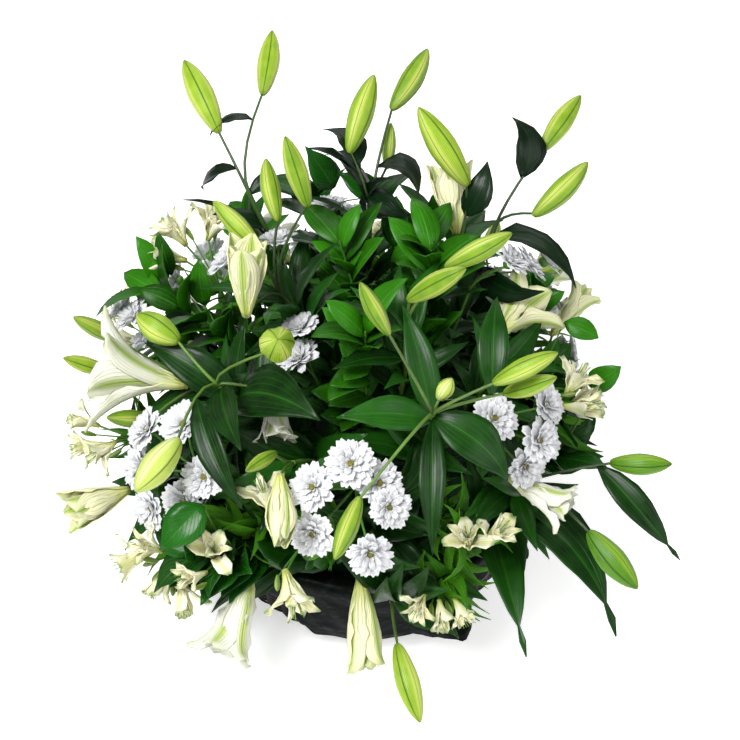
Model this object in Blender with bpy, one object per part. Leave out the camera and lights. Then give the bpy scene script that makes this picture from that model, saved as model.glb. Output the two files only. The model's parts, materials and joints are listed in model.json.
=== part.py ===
"""Round funeral flower basket: a low woven basket with a film liner and wet foam, and cut stems set in it.

Metres, +Z up. The origin is the middle of the basket's underside, and -Y is the front. Each cut stem grew
as one piece, so its stem, leaves, buds and flowers are one closed solid. Every stem leaves the foam in its
own socket and points away from one focal point low in the basket, which is how such a dome is arranged.
"""

import math

import bmesh
import bpy
from mathutils import Vector
from mathutils.bvhtree import BVHTree

CM = 0.01
GAP = 0.0003

# Basket
BASE_RADIUS = 0.190
RIM_RADIUS = 0.203
WALL_HEIGHT = 0.108
WALL_THICKNESS = 0.009
BASE_THICKNESS = 0.008
BORDER_RADIUS = 0.0075
BASKET_SIDES = 32

# Film liner: inside the wall, over the border, and down outside it as a skirt
FILM = 0.0008
LINER_LOW_RADIUS = BASE_RADIUS - WALL_THICKNESS - 0.0055
LINER_TOP_RADIUS = RIM_RADIUS - WALL_THICKNESS - 0.0045
LINER_OVER_BORDER = WALL_HEIGHT + 2 * BORDER_RADIUS + 0.0012
SKIRT_RADIUS = RIM_RADIUS + 0.011
FOLD_RADIUS = SKIRT_RADIUS - 0.004
SKIRT_DROP = 0.036
# Where the skirt hangs lowest, in front: turn about +Z and half its width in degrees, and its drop
FRONT_TURN, FRONT_HALF_WIDTH, FRONT_DROP = 270, 46, 0.094
# Where the sheet's corners flare out: turn about +Z in degrees, and how far out and down each reaches
FILM_CORNERS = (
    (216, 0.078, 0.062),
    (297, 0.050, 0.074),
    (326, 0.028, 0.040),
    (38, 0.050, 0.060),
    (128, 0.060, 0.066),
)
CORNER_SPREAD = 12.0
LINER_SIDES = 45

# Foam: a round block with a domed top
FOAM_RADIUS = 0.168
FOAM_SHOULDER = 0.100
FOAM_TOP = 0.165
FOAM_DOME = (0, 30, 60)
FOAM_SIDES = 24

# Stems: each is straight for STRAIGHT past its socket, then bends towards its neck
FOCUS = Vector((0, 0, 0.030))
SOCKET_DEPTH = 0.026
SOCKET_PLAY = 2 * GAP
STRAIGHT = 0.014
STEM_BEND = 0.45
STEM_RADIUS = {
    "lily": 0.0040,
    "chrysanthemum": 0.0026,
    "alstroemeria": 0.0026,
    "ruscus": 0.0020,
    "salal": 0.0022,
}
STEM_SIDES = 5

# Flower stalks: each starts inside its stem and ends inside its flower
STALK_RADIUS = 0.0018
STALK_OVERLAP = 0.004
STALK_BEND = 0.35
STALK_SIDES = 4

# Leaves: the widest places of a blade are (share of its length, share of its width)
LEAF_THICKNESS = 0.0016
LEAF_CLEARANCE = 0.0014
LEAF_ARCH = 0.10
LEAF_STATIONS = ((0.32, 1.0), (0.70, 0.85))
LOWEST_LEAF_TIP = 0.035
GOLDEN_ANGLE = 2.4
TURN_PER_STEM = 1.7
LEAF_TRIES = 12
TRY_TURN = math.radians(30)
# The leaves up a stem: length and width of one, its lean from the stem in radians, and the share of the stem
# that carries them
LEAF_SETS = {
    "lily": (0.100, 0.024, 1.00, (0.55, 0.95)),
    "chrysanthemum": (0.055, 0.026, 1.00, (0.60, 0.95)),
    "alstroemeria": (0.065, 0.011, 0.80, (0.55, 0.98)),
    "ruscus": (0.060, 0.022, 0.75, (0.40, 1.00)),
    "salal": (0.070, 0.046, 0.90, (0.55, 1.00)),
}

# A lily: foot (turn and rise of the stem in the foam, degrees), neck where its flower stalks part, flowers
# (form, base, tip), big leaves (start, tip, width) and the number of other leaves. Places are centimetres. A
# big leaf starts at a share of the stem's length, or at (flower, share) of that flower's stalk.
LILIES = {
    "lily_stem_01": dict(
        foot=(125, 61), neck=(-14, 14.5, 43.5), more_leaves=2,
        flowers=[
            ("bud", (-17.5, 19.5, 48.5), (-22, 27.5, 53.5)),
            ("bud", (-12.5, 24.5, 50.5), (-11.5, 32.5, 54.5)),
        ],
        leaves=[((1, 0.70), (-18.7, 19, 48.3), 1.6), ((0, 0.40), (-19.7, 17, 41.9), 1.8)],
    ),
    "lily_stem_02": dict(
        foot=(210, 86), neck=(-9.5, 2, 38), more_leaves=2,
        flowers=[
            ("bud", (-6.5, 5.5, 48.5), (-9, 9.5, 55.5)),
            ("bud", (-10, 6, 46), (-11.5, 12, 50.5)),
            ("bud", (-12, 3.5, 44), (-17.5, 8, 47.5)),
            ("half_open", (-13.5, -3, 39.5), (-13, 0, 48.5)),
        ],
        leaves=[],
    ),
    "lily_stem_03": dict(
        foot=(90, 75), neck=(0.5, 12, 42), more_leaves=2,
        flowers=[
            ("bud", (-2, 15.5, 48.5), (1, 23, 54.5)),
            ("bud", (3, 21.5, 50.5), (7.5, 28.5, 54.5)),
            ("bud", (2.5, 17, 45), (3, 21, 49)),
        ],
        leaves=[((0, 0.75), (-5.2, 19, 49.4), 3.0), ((1, 0.45), (6.2, 13, 43.9), 3.2)],
    ),
    "lily_stem_04": dict(
        foot=(45, 75), neck=(11, 10, 39), more_leaves=2,
        flowers=[("bud", (12, 12, 46.5), (6, 15, 55.5)), ("half_open", (10.8, 11.2, 39.8), (9.8, 17, 46.4))],
        leaves=[((0, 0.50), (14.3, 14.4, 48.2), 2.6)],
    ),
    "lily_stem_05": dict(
        foot=(35, 60), neck=(15.5, 11.5, 41), more_leaves=1,
        flowers=[("bud", (21, 18, 47), (26, 24.5, 50.5)), ("bud", (19.5, 9.5, 44), (26, 14, 48.5))],
        leaves=[((0, 0.60), (17.4, 20, 50.5), 2.8), (0.92, (25.1, 6, 36.5), 2.6), (0.80, (20.9, 3, 38), 2.4)],
    ),
    "lily_stem_06": dict(
        foot=(315, 75), neck=(4.5, -7, 42), more_leaves=2,
        flowers=[("bud", (8.5, -6.5, 50), (15.5, -5.5, 54)), ("bud", (4.5, -9, 47.5), (10.5, -10, 53))],
        leaves=[],
    ),
    "lily_stem_07": dict(
        foot=(305, 61), neck=(7, -20.5, 42), more_leaves=1,
        flowers=[
            ("bud", (2.5, -17, 50), (-0.5, -15, 55.5)),
            ("bud", (-0.5, -30, 40), (-3, -36.5, 38)),
            ("bud", (13, -20.5, 46.5), (19.5, -19.5, 50)),
            ("bud", (14.5, -18.5, 43), (19.5, -20.5, 47.5)),
        ],
        leaves=[
            (0.90, (-3, -21, 42), 2.8),
            (0.98, (15, -24.5, 36), 3.4),
            (0.86, (4, -8, 46), 2.6),
            (0.94, (7, -31.5, 32.5), 2.4),
            ((3, 0.80), (14, -9.5, 48.5), 2.6),
        ],
    ),
    "lily_stem_08": dict(
        foot=(215, 61), neck=(-16.5, -9.5, 35), more_leaves=1,
        flowers=[
            ("bud", (-21, -5.5, 38), (-26, -2.5, 39.5)),
            ("bud", (-10, -10.5, 41.5), (-9, -16, 48.5)),
            ("bud", (-20, -19, 36.5), (-24, -26, 36)),
            ("half_open", (-10.5, -12, 37.2), (-9.8, -17.6, 34.6)),
        ],
        leaves=[
            (0.96, (-25.3, -6, 38.8), 4.0),
            (0.92, (-4.8, -18, 38.7), 4.8),
            (0.98, (-13, -22.5, 38.5), 3.2),
            ((2, 0.80), (-12.5, -27.5, 35), 3.0),
        ],
    ),
    "lily_stem_09": dict(
        foot=(185, 58), neck=(-18.5, -4, 29), more_leaves=1,
        flowers=[
            ("open", (-20.5, -6, 31.5), (-31.5, -5.5, 34.5)),
            ("bud", (-30, 5, 28), (-35, 4, 33)),
            ("bud", (-30.5, -0.5, 28), (-35.5, -2, 32)),
            ("bud", (-24.5, -9, 29), (-29, -12.5, 33)),
        ],
        leaves=[],
    ),
    "lily_stem_10": dict(
        foot=(200, 30), neck=(-23, -9.5, 18), more_leaves=1,
        flowers=[("half_open", (-28, -12, 20), (-34.5, -17, 21.5))],
        leaves=[],
    ),
    "lily_stem_11": dict(
        foot=(245, 61), neck=(-8, -18, 31.5), more_leaves=1,
        flowers=[
            ("half_open", (-9, -24, 36.5), (-8.5, -32.5, 35)),
            ("bud", (-9.5, -20.5, 36), (-12.5, -24.5, 37.5)),
        ],
        leaves=[],
    ),
    "lily_stem_12": dict(
        foot=(260, 32), neck=(-10, -19, 15.5), more_leaves=1,
        flowers=[("open", (-13.2, -23, 17.4), (-16.3, -31, 12.6))],
        leaves=[],
    ),
    "lily_stem_13": dict(
        foot=(278, 47), neck=(0, -20.5, 20.5), more_leaves=1,
        flowers=[("half_open", (-0.6, -24.5, 19.4), (0.1, -33.8, 14))],
        leaves=[],
    ),
    "lily_stem_14": dict(
        foot=(279, 30), neck=(3, -25, 15.5), more_leaves=0,
        flowers=[("bud", (3.5, -31, 16), (6, -39, 12.5))],
        leaves=[],
    ),
    "lily_stem_15": dict(
        foot=(322, 36), neck=(18, -15.5, 25), more_leaves=1,
        flowers=[
            ("open", (15.9, -18, 29), (22.8, -21.5, 27.7)),
            ("bud", (27, -17.5, 31), (33.5, -19, 32.5)),
            ("bud", (24.5, -23.5, 26.5), (29.5, -29.5, 24)),
        ],
        leaves=[
            ((1, 0.85), (34.5, -26, 24.5), 2.6),
            (0.80, (29, -30, 17.5), 4.6),
            (0.80, (16.8, -31.5, 14), 4.0),
        ],
    ),
    "lily_stem_16": dict(
        foot=(335, 61), neck=(15, -3.5, 30.5), more_leaves=2,
        flowers=[("open", (15.6, 0, 33.8), (19.2, 7, 33.2))],
        leaves=[],
    ),
    "lily_stem_17": dict(
        foot=(104, 46), neck=(-8, 22, 21), more_leaves=2,
        flowers=[
            ("open", (-10, 24, 24), (-14, 31.5, 22)),
            ("bud", (-6, 26, 23), (-5, 33, 22)),
        ],
        leaves=[],
    ),
    "lily_stem_18": dict(
        foot=(50, 40), neck=(16, 21, 19), more_leaves=2,
        flowers=[
            ("half_open", (20, 24, 19), (26, 31, 17)),
            ("bud", (16, 26, 23), (18, 33, 24)),
            ("bud", (21, 22, 22), (27, 27, 21)),
        ],
        leaves=[],
    ),
    "lily_stem_19": dict(
        foot=(140, 30), neck=(-22, 17, 17), more_leaves=1,
        flowers=[("half_open", (-22, 23, 15), (-27, 30, 12)), ("bud", (-23, 20, 13), (-30, 24, 11.5))],
        leaves=[],
    ),
    "lily_stem_20": dict(
        foot=(2, 31), neck=(22, 6, 20), more_leaves=1,
        flowers=[("half_open", (23, 8, 26), (28, 13, 29.5)), ("bud", (23.5, 4, 15), (28, 8, 12))],
        leaves=[],
    ),
    "lily_stem_21": dict(
        foot=(80, 32), neck=(4, 27, 17), more_leaves=1,
        flowers=[("half_open", (5, 30, 18), (7, 38, 15)), ("bud", (2, 31, 18), (0.5, 38.5, 16))],
        leaves=[],
    ),
}

# A chrysanthemum spray: foot, neck, and the middle of each flower head (centimetres)
CHRYSANTHEMUMS = {
    "chrysanthemum_spray_01": ((272, 62), (-1, -19, 29), [
        (-1.5, -23, 37), (-5.5, -24.5, 35), (2.5, -26, 33.5), (-5.5, -27.5, 31), (0.5, -29, 29.5),
        (1.5, -23.5, 34.5)]),
    "chrysanthemum_spray_02": ((212, 44), (-18, -13, 24), [
        (-20, -15, 34.5), (-24.5, -13, 31.5), (-25.5, -15, 27.5), (-17.5, -20.5, 32), (-20, -21, 28.5),
        (-24, -19, 25)]),
    "chrysanthemum_spray_03": ((325, 47), (13, -11, 29), [
        (14, -16, 36.5), (20, -12.5, 35), (19, -16.5, 33.5), (17.5, -18.5, 31.5)]),
    "chrysanthemum_spray_04": ((172, 47), (-22, 4, 25), [
        (-30, 9, 29.5), (-28, 5, 32), (-27, 5, 28)]),
    "chrysanthemum_spray_05": ((22, 66), (12.5, 6, 36), [
        (19.5, 8.5, 37), (17, 6.5, 39.5), (22, 11.5, 35.5)]),
    "chrysanthemum_spray_06": ((150, 72), (-10, 7, 34), [
        (-10.5, 9.5, 40), (-16.6, 8, 38.2)]),
    "chrysanthemum_spray_07": ((115, 76), (-4, 10, 35), [
        (-4.5, 13.5, 42), (-1, 18.5, 36.5)]),
    "chrysanthemum_spray_08": ((225, 76), (-6, -4, 31), [
        (-7.5, -1.8, 36.5), (-6.2, -7.5, 31.5)]),
    "chrysanthemum_spray_09": ((98, 29), (-8, 26, 20), [
        (-8, 33, 19), (-13, 31, 14.5), (-3, 34, 18), (-8, 34, 13.5)]),
    "chrysanthemum_spray_10": ((60, 28), (13, 25, 18), [
        (14, 32, 19), (9.5, 33, 17), (18, 29, 16), (13, 31, 13.5)]),
    "chrysanthemum_spray_11": ((122, 32), (-19, 21, 24), [
        (-21, 26, 24), (-25, 21, 24), (-20.5, 28, 19), (-25, 23, 19)]),
    "chrysanthemum_spray_12": ((21, 38), (21, 12, 22), [
        (26, 10.5, 20.5), (26, 15.5, 22), (22.5, 17, 25.5), (23, 19, 20)]),
}

# An alstroemeria spray: foot, neck, and each floret from its base to its mouth (centimetres)
ALSTROEMERIAS = {
    "alstroemeria_spray_01": ((220, 30), (-20, -19, 18), [
        ((-22.5, -23, 19), (-24, -26, 18)), ((-21, -24, 19), (-20, -28, 17.5)),
        ((-24, -21, 20), (-28.5, -22.5, 19)), ((-23, -22, 21), (-26, -22.5, 23.5))]),
    "alstroemeria_spray_02": ((236, 46), (-14, -19.5, 20), [
        ((-17, -24, 22.5), (-16.5, -25.5, 26.5)), ((-17.6, -25.4, 21.6), (-20.8, -27, 22.6))]),
    "alstroemeria_spray_03": ((258, 45), (-7, -21, 21), [
        ((-9, -25, 21.5), (-7.2, -30, 20)), ((-10.5, -21.5, 27.5), (-11.6, -20.5, 31.5))]),
    "alstroemeria_spray_04": ((185, 32), (-27, -4, 20), [
        ((-32, -4.5, 23), (-35, -5, 25)), ((-31, -6.5, 22), (-35, -8, 23)),
        ((-29.5, -8, 24), (-32.5, -10.5, 24))]),
    "alstroemeria_spray_05": ((300, 46), (10.5, -20, 21), [
        ((11.5, -24, 24), (11, -24.5, 28)), ((13, -23.5, 24), (15.5, -23.5, 27.5))]),
    "alstroemeria_spray_06": ((300, 30), (8.5, -23, 17), [
        ((8.2, -27, 18.6), (8.5, -30.3, 17.8)), ((9.9, -26.2, 18), (11.2, -29, 16.4)),
        ((6.6, -27, 19.5), (5.2, -30, 19.6))]),
    "alstroemeria_spray_07": ((350, 46), (21.5, -4, 25), [
        ((23.5, -5, 29), (25.5, -4, 32.5)), ((23, -6, 28), (27, -7.5, 29.5)), ((24, -4, 26), (28, -3, 27))]),
    "alstroemeria_spray_08": ((146, 46), (-18, 11, 31), [
        ((-22, 13.5, 36), (-24.5, 15, 39.5)), ((-19.5, 14.5, 36), (-18, 16, 40)),
        ((-22, 12.5, 34.5), (-26, 12, 36.5))]),
    "alstroemeria_spray_09": ((158, 30), (-26, 11, 21), [
        ((-29, 13, 24), (-32.5, 14, 26.5)), ((-28.5, 11.5, 22), (-33, 10.5, 22))]),
    "alstroemeria_spray_10": ((78, 47), (3, 25, 22), [
        ((3, 28, 24.5), (3.2, 32.5, 25)), ((5, 28.5, 23), (7, 32, 23.5)), ((1, 28, 23), (-2, 32.5, 22.5))]),
    "alstroemeria_spray_11": ((38, 30), (20, 17, 16), [
        ((23, 20, 16.5), (27, 23, 16.5)), ((21, 22, 16), (24, 26, 15))]),
}

# A foliage stem: foot, tip (centimetres) and the number of its leaves
RUSCUS = {
    "ruscus_stem_01": ((270, 74), (0, -7, 41), 6),
    "ruscus_stem_02": ((0, 74), (7.5, 4.5, 43), 6),
    "ruscus_stem_03": ((30, 87), (-3, 5, 44), 6),
    "ruscus_stem_04": ((160, 61), (-25.5, 8, 33.5), 6),
    "ruscus_stem_05": ((12, 47), (25, 1, 27), 6),
    "ruscus_stem_06": ((65, 61), (9, 23, 32), 6),
    "ruscus_stem_07": ((125, 47), (-15, 25, 30), 6),
    "ruscus_stem_08": ((33, 46), (22, 13, 31), 6),
}
SALAL = {
    "salal_stem_01": ((241, 30), (-19, -23, 23), 3),
    "salal_stem_02": ((340, 31), (26.5, -5, 29), 4),
    "salal_stem_03": ((97, 61), (-7, 20, 40), 4),
}

# The number of leaves on the sprays
CHRYSANTHEMUM_LEAVES = 1
ALSTROEMERIA_LEAVES = 3

# A lily flower's width as a share of its length, and its outline as (share of length, share of width)
FLOWER_WIDTH = {"bud": 0.26, "half_open": 0.30, "open": 0.70}
FLOWER_PROFILE = {
    "bud": ((0.0, 0.28), (0.32, 0.92), (0.72, 0.88)),
    "half_open": ((0.0, 0.24), (0.50, 0.78), (1.0, 1.15)),
    "open": ((0.0, 0.10), (0.55, 0.42), (1.0, 1.0)),
}
# A chrysanthemum head's outline as (height, radius), both as shares of its radius
HEAD_RADIUS = 0.026
HEAD_NECK = 0.014
HEAD_PROFILE = ((-0.55, 0.25), (0.0, 1.0), (0.38, 0.62))
# A floret's outline as (share of length, radius)
FLORET_PROFILE = ((0, 0.003), (0.6, 0.010), (1, 0.018))
FLOWER_SIDES = 6
FLORET_SIDES = 5

COLOURS = {
    "wicker": ((0.020, 0.018, 0.016, 1), 0.45),
    "film": ((0.012, 0.013, 0.016, 1), 0.25),
    "foam": ((0.020, 0.075, 0.035, 1), 0.95),
    "lily": ((0.170, 0.290, 0.040, 1), 0.40),
    "chrysanthemum": ((0.820, 0.830, 0.860, 1), 0.60),
    "alstroemeria": ((0.780, 0.750, 0.520, 1), 0.55),
    "ruscus": ((0.025, 0.110, 0.020, 1), 0.35),
    "salal": ((0.015, 0.080, 0.020, 1), 0.30),
}


def metres(place):
    """A place in centimetres as a vector in metres."""
    return Vector(place) * CM


def direction(turn, rise):
    """The unit vector at a turn about +Z and a rise above the ground, in degrees."""
    a, b = math.radians(turn), math.radians(rise)
    return Vector((math.cos(b) * math.cos(a), math.cos(b) * math.sin(a), math.sin(b)))


def across(axis, towards):
    """Two unit vectors square to axis and to each other; the second leans towards the given vector."""
    side = axis.cross(towards)
    if side.length < 1e-4:
        side = axis.cross(Vector((1, 0.01, 0)))
    side.normalize()
    return side, side.cross(axis).normalized()


def add_object(name, bm, kind):
    """A mesh object from a bmesh, with its material."""
    bmesh.ops.recalc_face_normals(bm, faces=bm.faces)
    mesh = bpy.data.meshes.new(name)
    bm.to_mesh(mesh)
    bm.free()
    made = bpy.data.objects.new(name, mesh)
    bpy.context.scene.collection.objects.link(made)
    mesh.materials.append(material(kind))
    mesh.shade_smooth()
    mesh.set_sharp_from_angle(angle=math.radians(40))
    return made


def material(kind):
    """The Principled material of one kind of piece."""
    if kind in bpy.data.materials:
        return bpy.data.materials[kind]
    colour, roughness = COLOURS[kind]
    made = bpy.data.materials.new(kind)
    made.use_nodes = True
    made.diffuse_color = colour
    shader = made.node_tree.nodes["Principled BSDF"]
    shader.inputs["Base Color"].default_value = colour
    shader.inputs["Roughness"].default_value = roughness
    shader.inputs["Metallic"].default_value = 0.0
    return made


def loft(bm, rings, start=None, end=None):
    """A closed skin through rings of equally many points; each end is a flat cap, or runs to a point."""
    loops = [[bm.verts.new(p) for p in ring] for ring in rings]
    count = len(loops[0])
    for near, far in zip(loops, loops[1:]):
        for i in range(count):
            j = (i + 1) % count
            bm.faces.new((near[i], near[j], far[j], far[i]))
    for loop, point in ((loops[0][::-1], start), (loops[-1], end)):
        if point is None:
            bm.faces.new(loop)
            continue
        apex = bm.verts.new(point)
        for i in range(count):
            bm.faces.new((loop[i], loop[(i + 1) % count], apex))
    return bm


def circle(centre, axis, radius, sides, towards=Vector((0, 0.2, 1))):
    """Points on a circle about an axis."""
    side, up = across(axis, towards)
    angles = [2 * math.pi * i / sides for i in range(sides)]
    return [centre + radius * (math.cos(a) * side + math.sin(a) * up) for a in angles]


def bend(start, control, end, steps):
    """Points along a quadratic curve, both ends included."""
    points = []
    for i in range(steps + 1):
        s = i / steps
        points.append((1 - s) ** 2 * start + 2 * s * (1 - s) * control + s * s * end)
    return points


def tube(points, radius, sides=STEM_SIDES):
    """A round stalk along a line of points."""
    rings = []
    for i, point in enumerate(points):
        ahead = points[min(i + 1, len(points) - 1)] - points[max(i - 1, 0)]
        rings.append(circle(point, ahead.normalized(), radius, sides))
    return loft(bmesh.new(), rings)


def flower(form, base, tip):
    """A lily bud, or a trumpet that is half open or open, from its base to its tip."""
    axis = tip - base
    half = 0.5 * FLOWER_WIDTH[form] * axis.length
    aim = axis.normalized()
    rings = [circle(base + s * axis, aim, half * w, FLOWER_SIDES) for s, w in FLOWER_PROFILE[form]]
    return loft(bmesh.new(), rings, end=tip if form == "bud" else None)


def head(centre, facing):
    """A double chrysanthemum head: a shallow dome of petals on a small cup."""
    rings = [
        circle(centre + h * HEAD_RADIUS * facing, facing, w * HEAD_RADIUS, FLOWER_SIDES)
        for h, w in HEAD_PROFILE
    ]
    return loft(bmesh.new(), rings)


def floret(base, mouth):
    """An alstroemeria flower: a funnel that flares to its mouth."""
    axis = mouth - base
    rings = [circle(base + s * axis, axis.normalized(), r, FLORET_SIDES) for s, r in FLORET_PROFILE]
    return loft(bmesh.new(), rings)


def blade(base, tip, width, extra=0.0):
    """A leaf: a thin pointed blade, arched away from the focal point; extra fattens it all round."""
    axis = tip - base
    outward = (base + tip) / 2 - FOCUS
    side, up = across(axis.normalized(), outward)
    half = 0.5 * width + extra
    rise = LEAF_THICKNESS + 2 * extra
    rings = []
    for s, share in LEAF_STATIONS:
        arch = 4 * LEAF_ARCH * s * (1 - s) * axis.length
        middle = base + s * axis + (arch - extra) * up
        rings.append([middle - half * share * side, middle + half * share * side, middle + rise * up])
    return loft(bmesh.new(), rings, start=base, end=tip)


def foam_entry(aim):
    """How far from the focal point a stem with this aim meets the foam's domed top."""
    squeeze = (FOAM_TOP - FOAM_SHOULDER) / FOAM_RADIUS
    a = aim.x**2 + aim.y**2 + (aim.z / squeeze) ** 2
    low = FOCUS.z - FOAM_SHOULDER
    b = aim.z * low / squeeze**2
    c = (low / squeeze) ** 2 - FOAM_RADIUS**2
    return (-b + math.sqrt(b * b - a * c)) / a


def stem_line(foot, end):
    """The line of a cut stem: straight out of its socket, then in one bend to its end."""
    aim = direction(*foot)
    surface = foam_entry(aim)
    cut = FOCUS + (surface - SOCKET_DEPTH) * aim
    clear = FOCUS + (surface + STRAIGHT) * aim
    reach = (end - clear).length
    return [cut] + bend(clear, clear + STEM_BEND * reach * aim, end, 3)


def stalk_line(line, base, axis):
    """The line of the short stalk from the end of a stem line to a flower's base."""
    neck = line[-1]
    aim = (line[-1] - line[-2]).normalized()
    control = neck + STALK_BEND * (base - neck).length * aim
    return bend(neck - STALK_OVERLAP * aim, control, base + STALK_OVERLAP * axis, 2)


def stalk(line, base, axis):
    """A flower's stalk."""
    return tube(stalk_line(line, base, axis), STALK_RADIUS, STALK_SIDES)


def lily_core(plan):
    """A lily's stem, flower stalks and flowers."""
    line = stem_line(plan["foot"], metres(plan["neck"]))
    parts = [tube(line, STEM_RADIUS["lily"])]
    for form, base, tip in plan["flowers"]:
        base, tip = metres(base), metres(tip)
        parts.append(stalk(line, base, (tip - base).normalized()))
        parts.append(flower(form, base, tip))
    return line, parts


def chrysanthemum_core(foot, neck, heads):
    """A spray's stem, and a stalk and a head for each flower."""
    line = stem_line(foot, metres(neck))
    parts = [tube(line, STEM_RADIUS["chrysanthemum"])]
    for place in heads:
        centre = metres(place)
        facing = ((centre - line[-1]).normalized() + (centre - FOCUS).normalized()).normalized()
        parts.append(stalk(line, centre - HEAD_NECK * facing, facing))
        parts.append(head(centre, facing))
    return line, parts


def alstroemeria_core(foot, neck, florets):
    """A spray's stem, and a stalk and a funnel for each floret."""
    line = stem_line(foot, metres(neck))
    parts = [tube(line, STEM_RADIUS["alstroemeria"])]
    for base, mouth in florets:
        base, mouth = metres(base), metres(mouth)
        parts.append(stalk(line, base, (mouth - base).normalized()))
        parts.append(floret(base, mouth))
    return line, parts


def along(line, share):
    """The point and the heading at a share of a line's length."""
    lengths = [(b - a).length for a, b in zip(line, line[1:])]
    left = share * sum(lengths)
    for a, b, length in zip(line, line[1:], lengths):
        if left <= length:
            return a.lerp(b, left / length), (b - a).normalized()
        left -= length
    return line[-1], (line[-1] - line[-2]).normalized()


def leaf_clear_of(trees, base, tip, width):
    """Whether a leaf keeps its clearance from every neighbour."""
    fat = blade(base, tip, width, extra=LEAF_CLEARANCE)
    mine = BVHTree.FromBMesh(fat)
    fat.free()
    return not any(mine.overlap(tree) for tree in trees)


def set_leaves(line, count, kind, neighbours, turned):
    """Leaves along a stem, each turned by the golden angle from the last, and on until it is clear."""
    length, width, lean, (first, last) = LEAF_SETS[kind]
    blades = []
    for i in range(count):
        base, heading = along(line, first + (last - first) * (i + 0.5) / count)
        side, up = across(heading, Vector((0, 0, 1)))
        size = length * (1.1 - 0.3 * i / count)
        for attempt in range(LEAF_TRIES):
            step = (attempt // 2 + attempt % 2) * (-1) ** attempt
            turn = turned + GOLDEN_ANGLE * i + TRY_TURN * step
            out = math.cos(turn) * side + math.sin(turn) * up
            tip = base + size * (math.cos(lean) * heading + math.sin(lean) * out)
            if tip.z > LOWEST_LEAF_TIP and leaf_clear_of(neighbours, base, tip, width):
                blades.append(blade(base, tip, width))
                break
    return blades


def drop_slivers(mesh):
    """Keeps the largest connected skin, so that no crumb of a union stays."""
    bm = bmesh.new()
    bm.from_mesh(mesh)
    left, islands = set(bm.verts), []
    while left:
        island, edge_of_search = set(), [left.pop()]
        while edge_of_search:
            vertex = edge_of_search.pop()
            island.add(vertex)
            near = {edge.other_vert(vertex) for edge in vertex.link_edges} & left
            left -= near
            edge_of_search.extend(near)
        islands.append(island)
    islands.sort(key=len)
    for island in islands[:-1]:
        if len(island) > 12:
            print(mesh.name, "has a loose part of", len(island), "vertices")
        bmesh.ops.delete(bm, geom=list(island), context="VERTS")
    bm.to_mesh(mesh)
    bm.free()


def union(name, parts, kind):
    """One closed solid from overlapping parts."""
    extras = bpy.data.collections.new(name + "_parts")
    whole = add_object(name, parts[0], kind)
    pieces = [add_object(name + "_part", part, kind) for part in parts[1:]]
    for piece in pieces:
        extras.objects.link(piece)
    join = whole.modifiers.new("Join", "BOOLEAN")
    join.operation = "UNION"
    join.operand_type = "COLLECTION"
    join.collection = extras
    depsgraph = bpy.context.evaluated_depsgraph_get()
    joined = bpy.data.meshes.new_from_object(whole.evaluated_get(depsgraph))
    whole.modifiers.clear()
    whole.data = joined
    joined.name = name
    drop_slivers(joined)
    for piece in pieces:
        bpy.data.objects.remove(piece)
    bpy.data.collections.remove(extras)
    return whole


def turned_ring(name, profile, sides, kind):
    """A closed ring with the given (radius, height) section."""
    bm = bmesh.new()
    loops = []
    for i in range(sides):
        a = 2 * math.pi * i / sides
        loops.append([bm.verts.new((r * math.cos(a), r * math.sin(a), z)) for r, z in profile])
    for i in range(sides):
        near, far = loops[i], loops[(i + 1) % sides]
        for j in range(len(profile)):
            k = (j + 1) % len(profile)
            bm.faces.new((near[j], near[k], far[k], far[j]))
    return add_object(name, bm, kind)


def make_basket():
    """The base disc, the wall that stands round it, and the border on the wall."""
    flat = circle(Vector((0, 0, 0)), Vector((0, 0, 1)), BASE_RADIUS - WALL_THICKNESS - GAP, BASKET_SIDES)
    lifted = [p + Vector((0, 0, BASE_THICKNESS)) for p in flat]
    add_object("basket_base", loft(bmesh.new(), [flat, lifted]), "wicker")
    wall = [
        (BASE_RADIUS - WALL_THICKNESS, 0),
        (BASE_RADIUS, 0),
        (RIM_RADIUS, WALL_HEIGHT),
        (RIM_RADIUS - WALL_THICKNESS, WALL_HEIGHT),
    ]
    turned_ring("basket_wall", wall, BASKET_SIDES, "wicker")
    middle = RIM_RADIUS - WALL_THICKNESS / 2
    height = WALL_HEIGHT + BORDER_RADIUS + GAP
    border = []
    for i in range(6):
        a = 2 * math.pi * i / 6
        border.append((middle + BORDER_RADIUS * math.cos(a), height + BORDER_RADIUS * math.sin(a)))
    turned_ring("basket_border", border, BASKET_SIDES, "wicker")


def nearness(degrees, turn, spread):
    """1 at a turn about +Z, falling to 0 at spread degrees from it."""
    off = abs((degrees - turn + 180) % 360 - 180)
    return max(0.0, 1 - off / spread)


def skirt_at(degrees):
    """How far out and how far down the film's outer edge reaches at a turn about +Z."""
    out = SKIRT_RADIUS
    down = SKIRT_DROP + (FRONT_DROP - SKIRT_DROP) * nearness(degrees, FRONT_TURN, FRONT_HALF_WIDTH)
    for turn, flare, drop in FILM_CORNERS:
        share = nearness(degrees, turn, CORNER_SPREAD)
        out = max(out, SKIRT_RADIUS + flare * share)
        down = max(down, SKIRT_DROP + (drop - SKIRT_DROP) * share)
    return out, down


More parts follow.
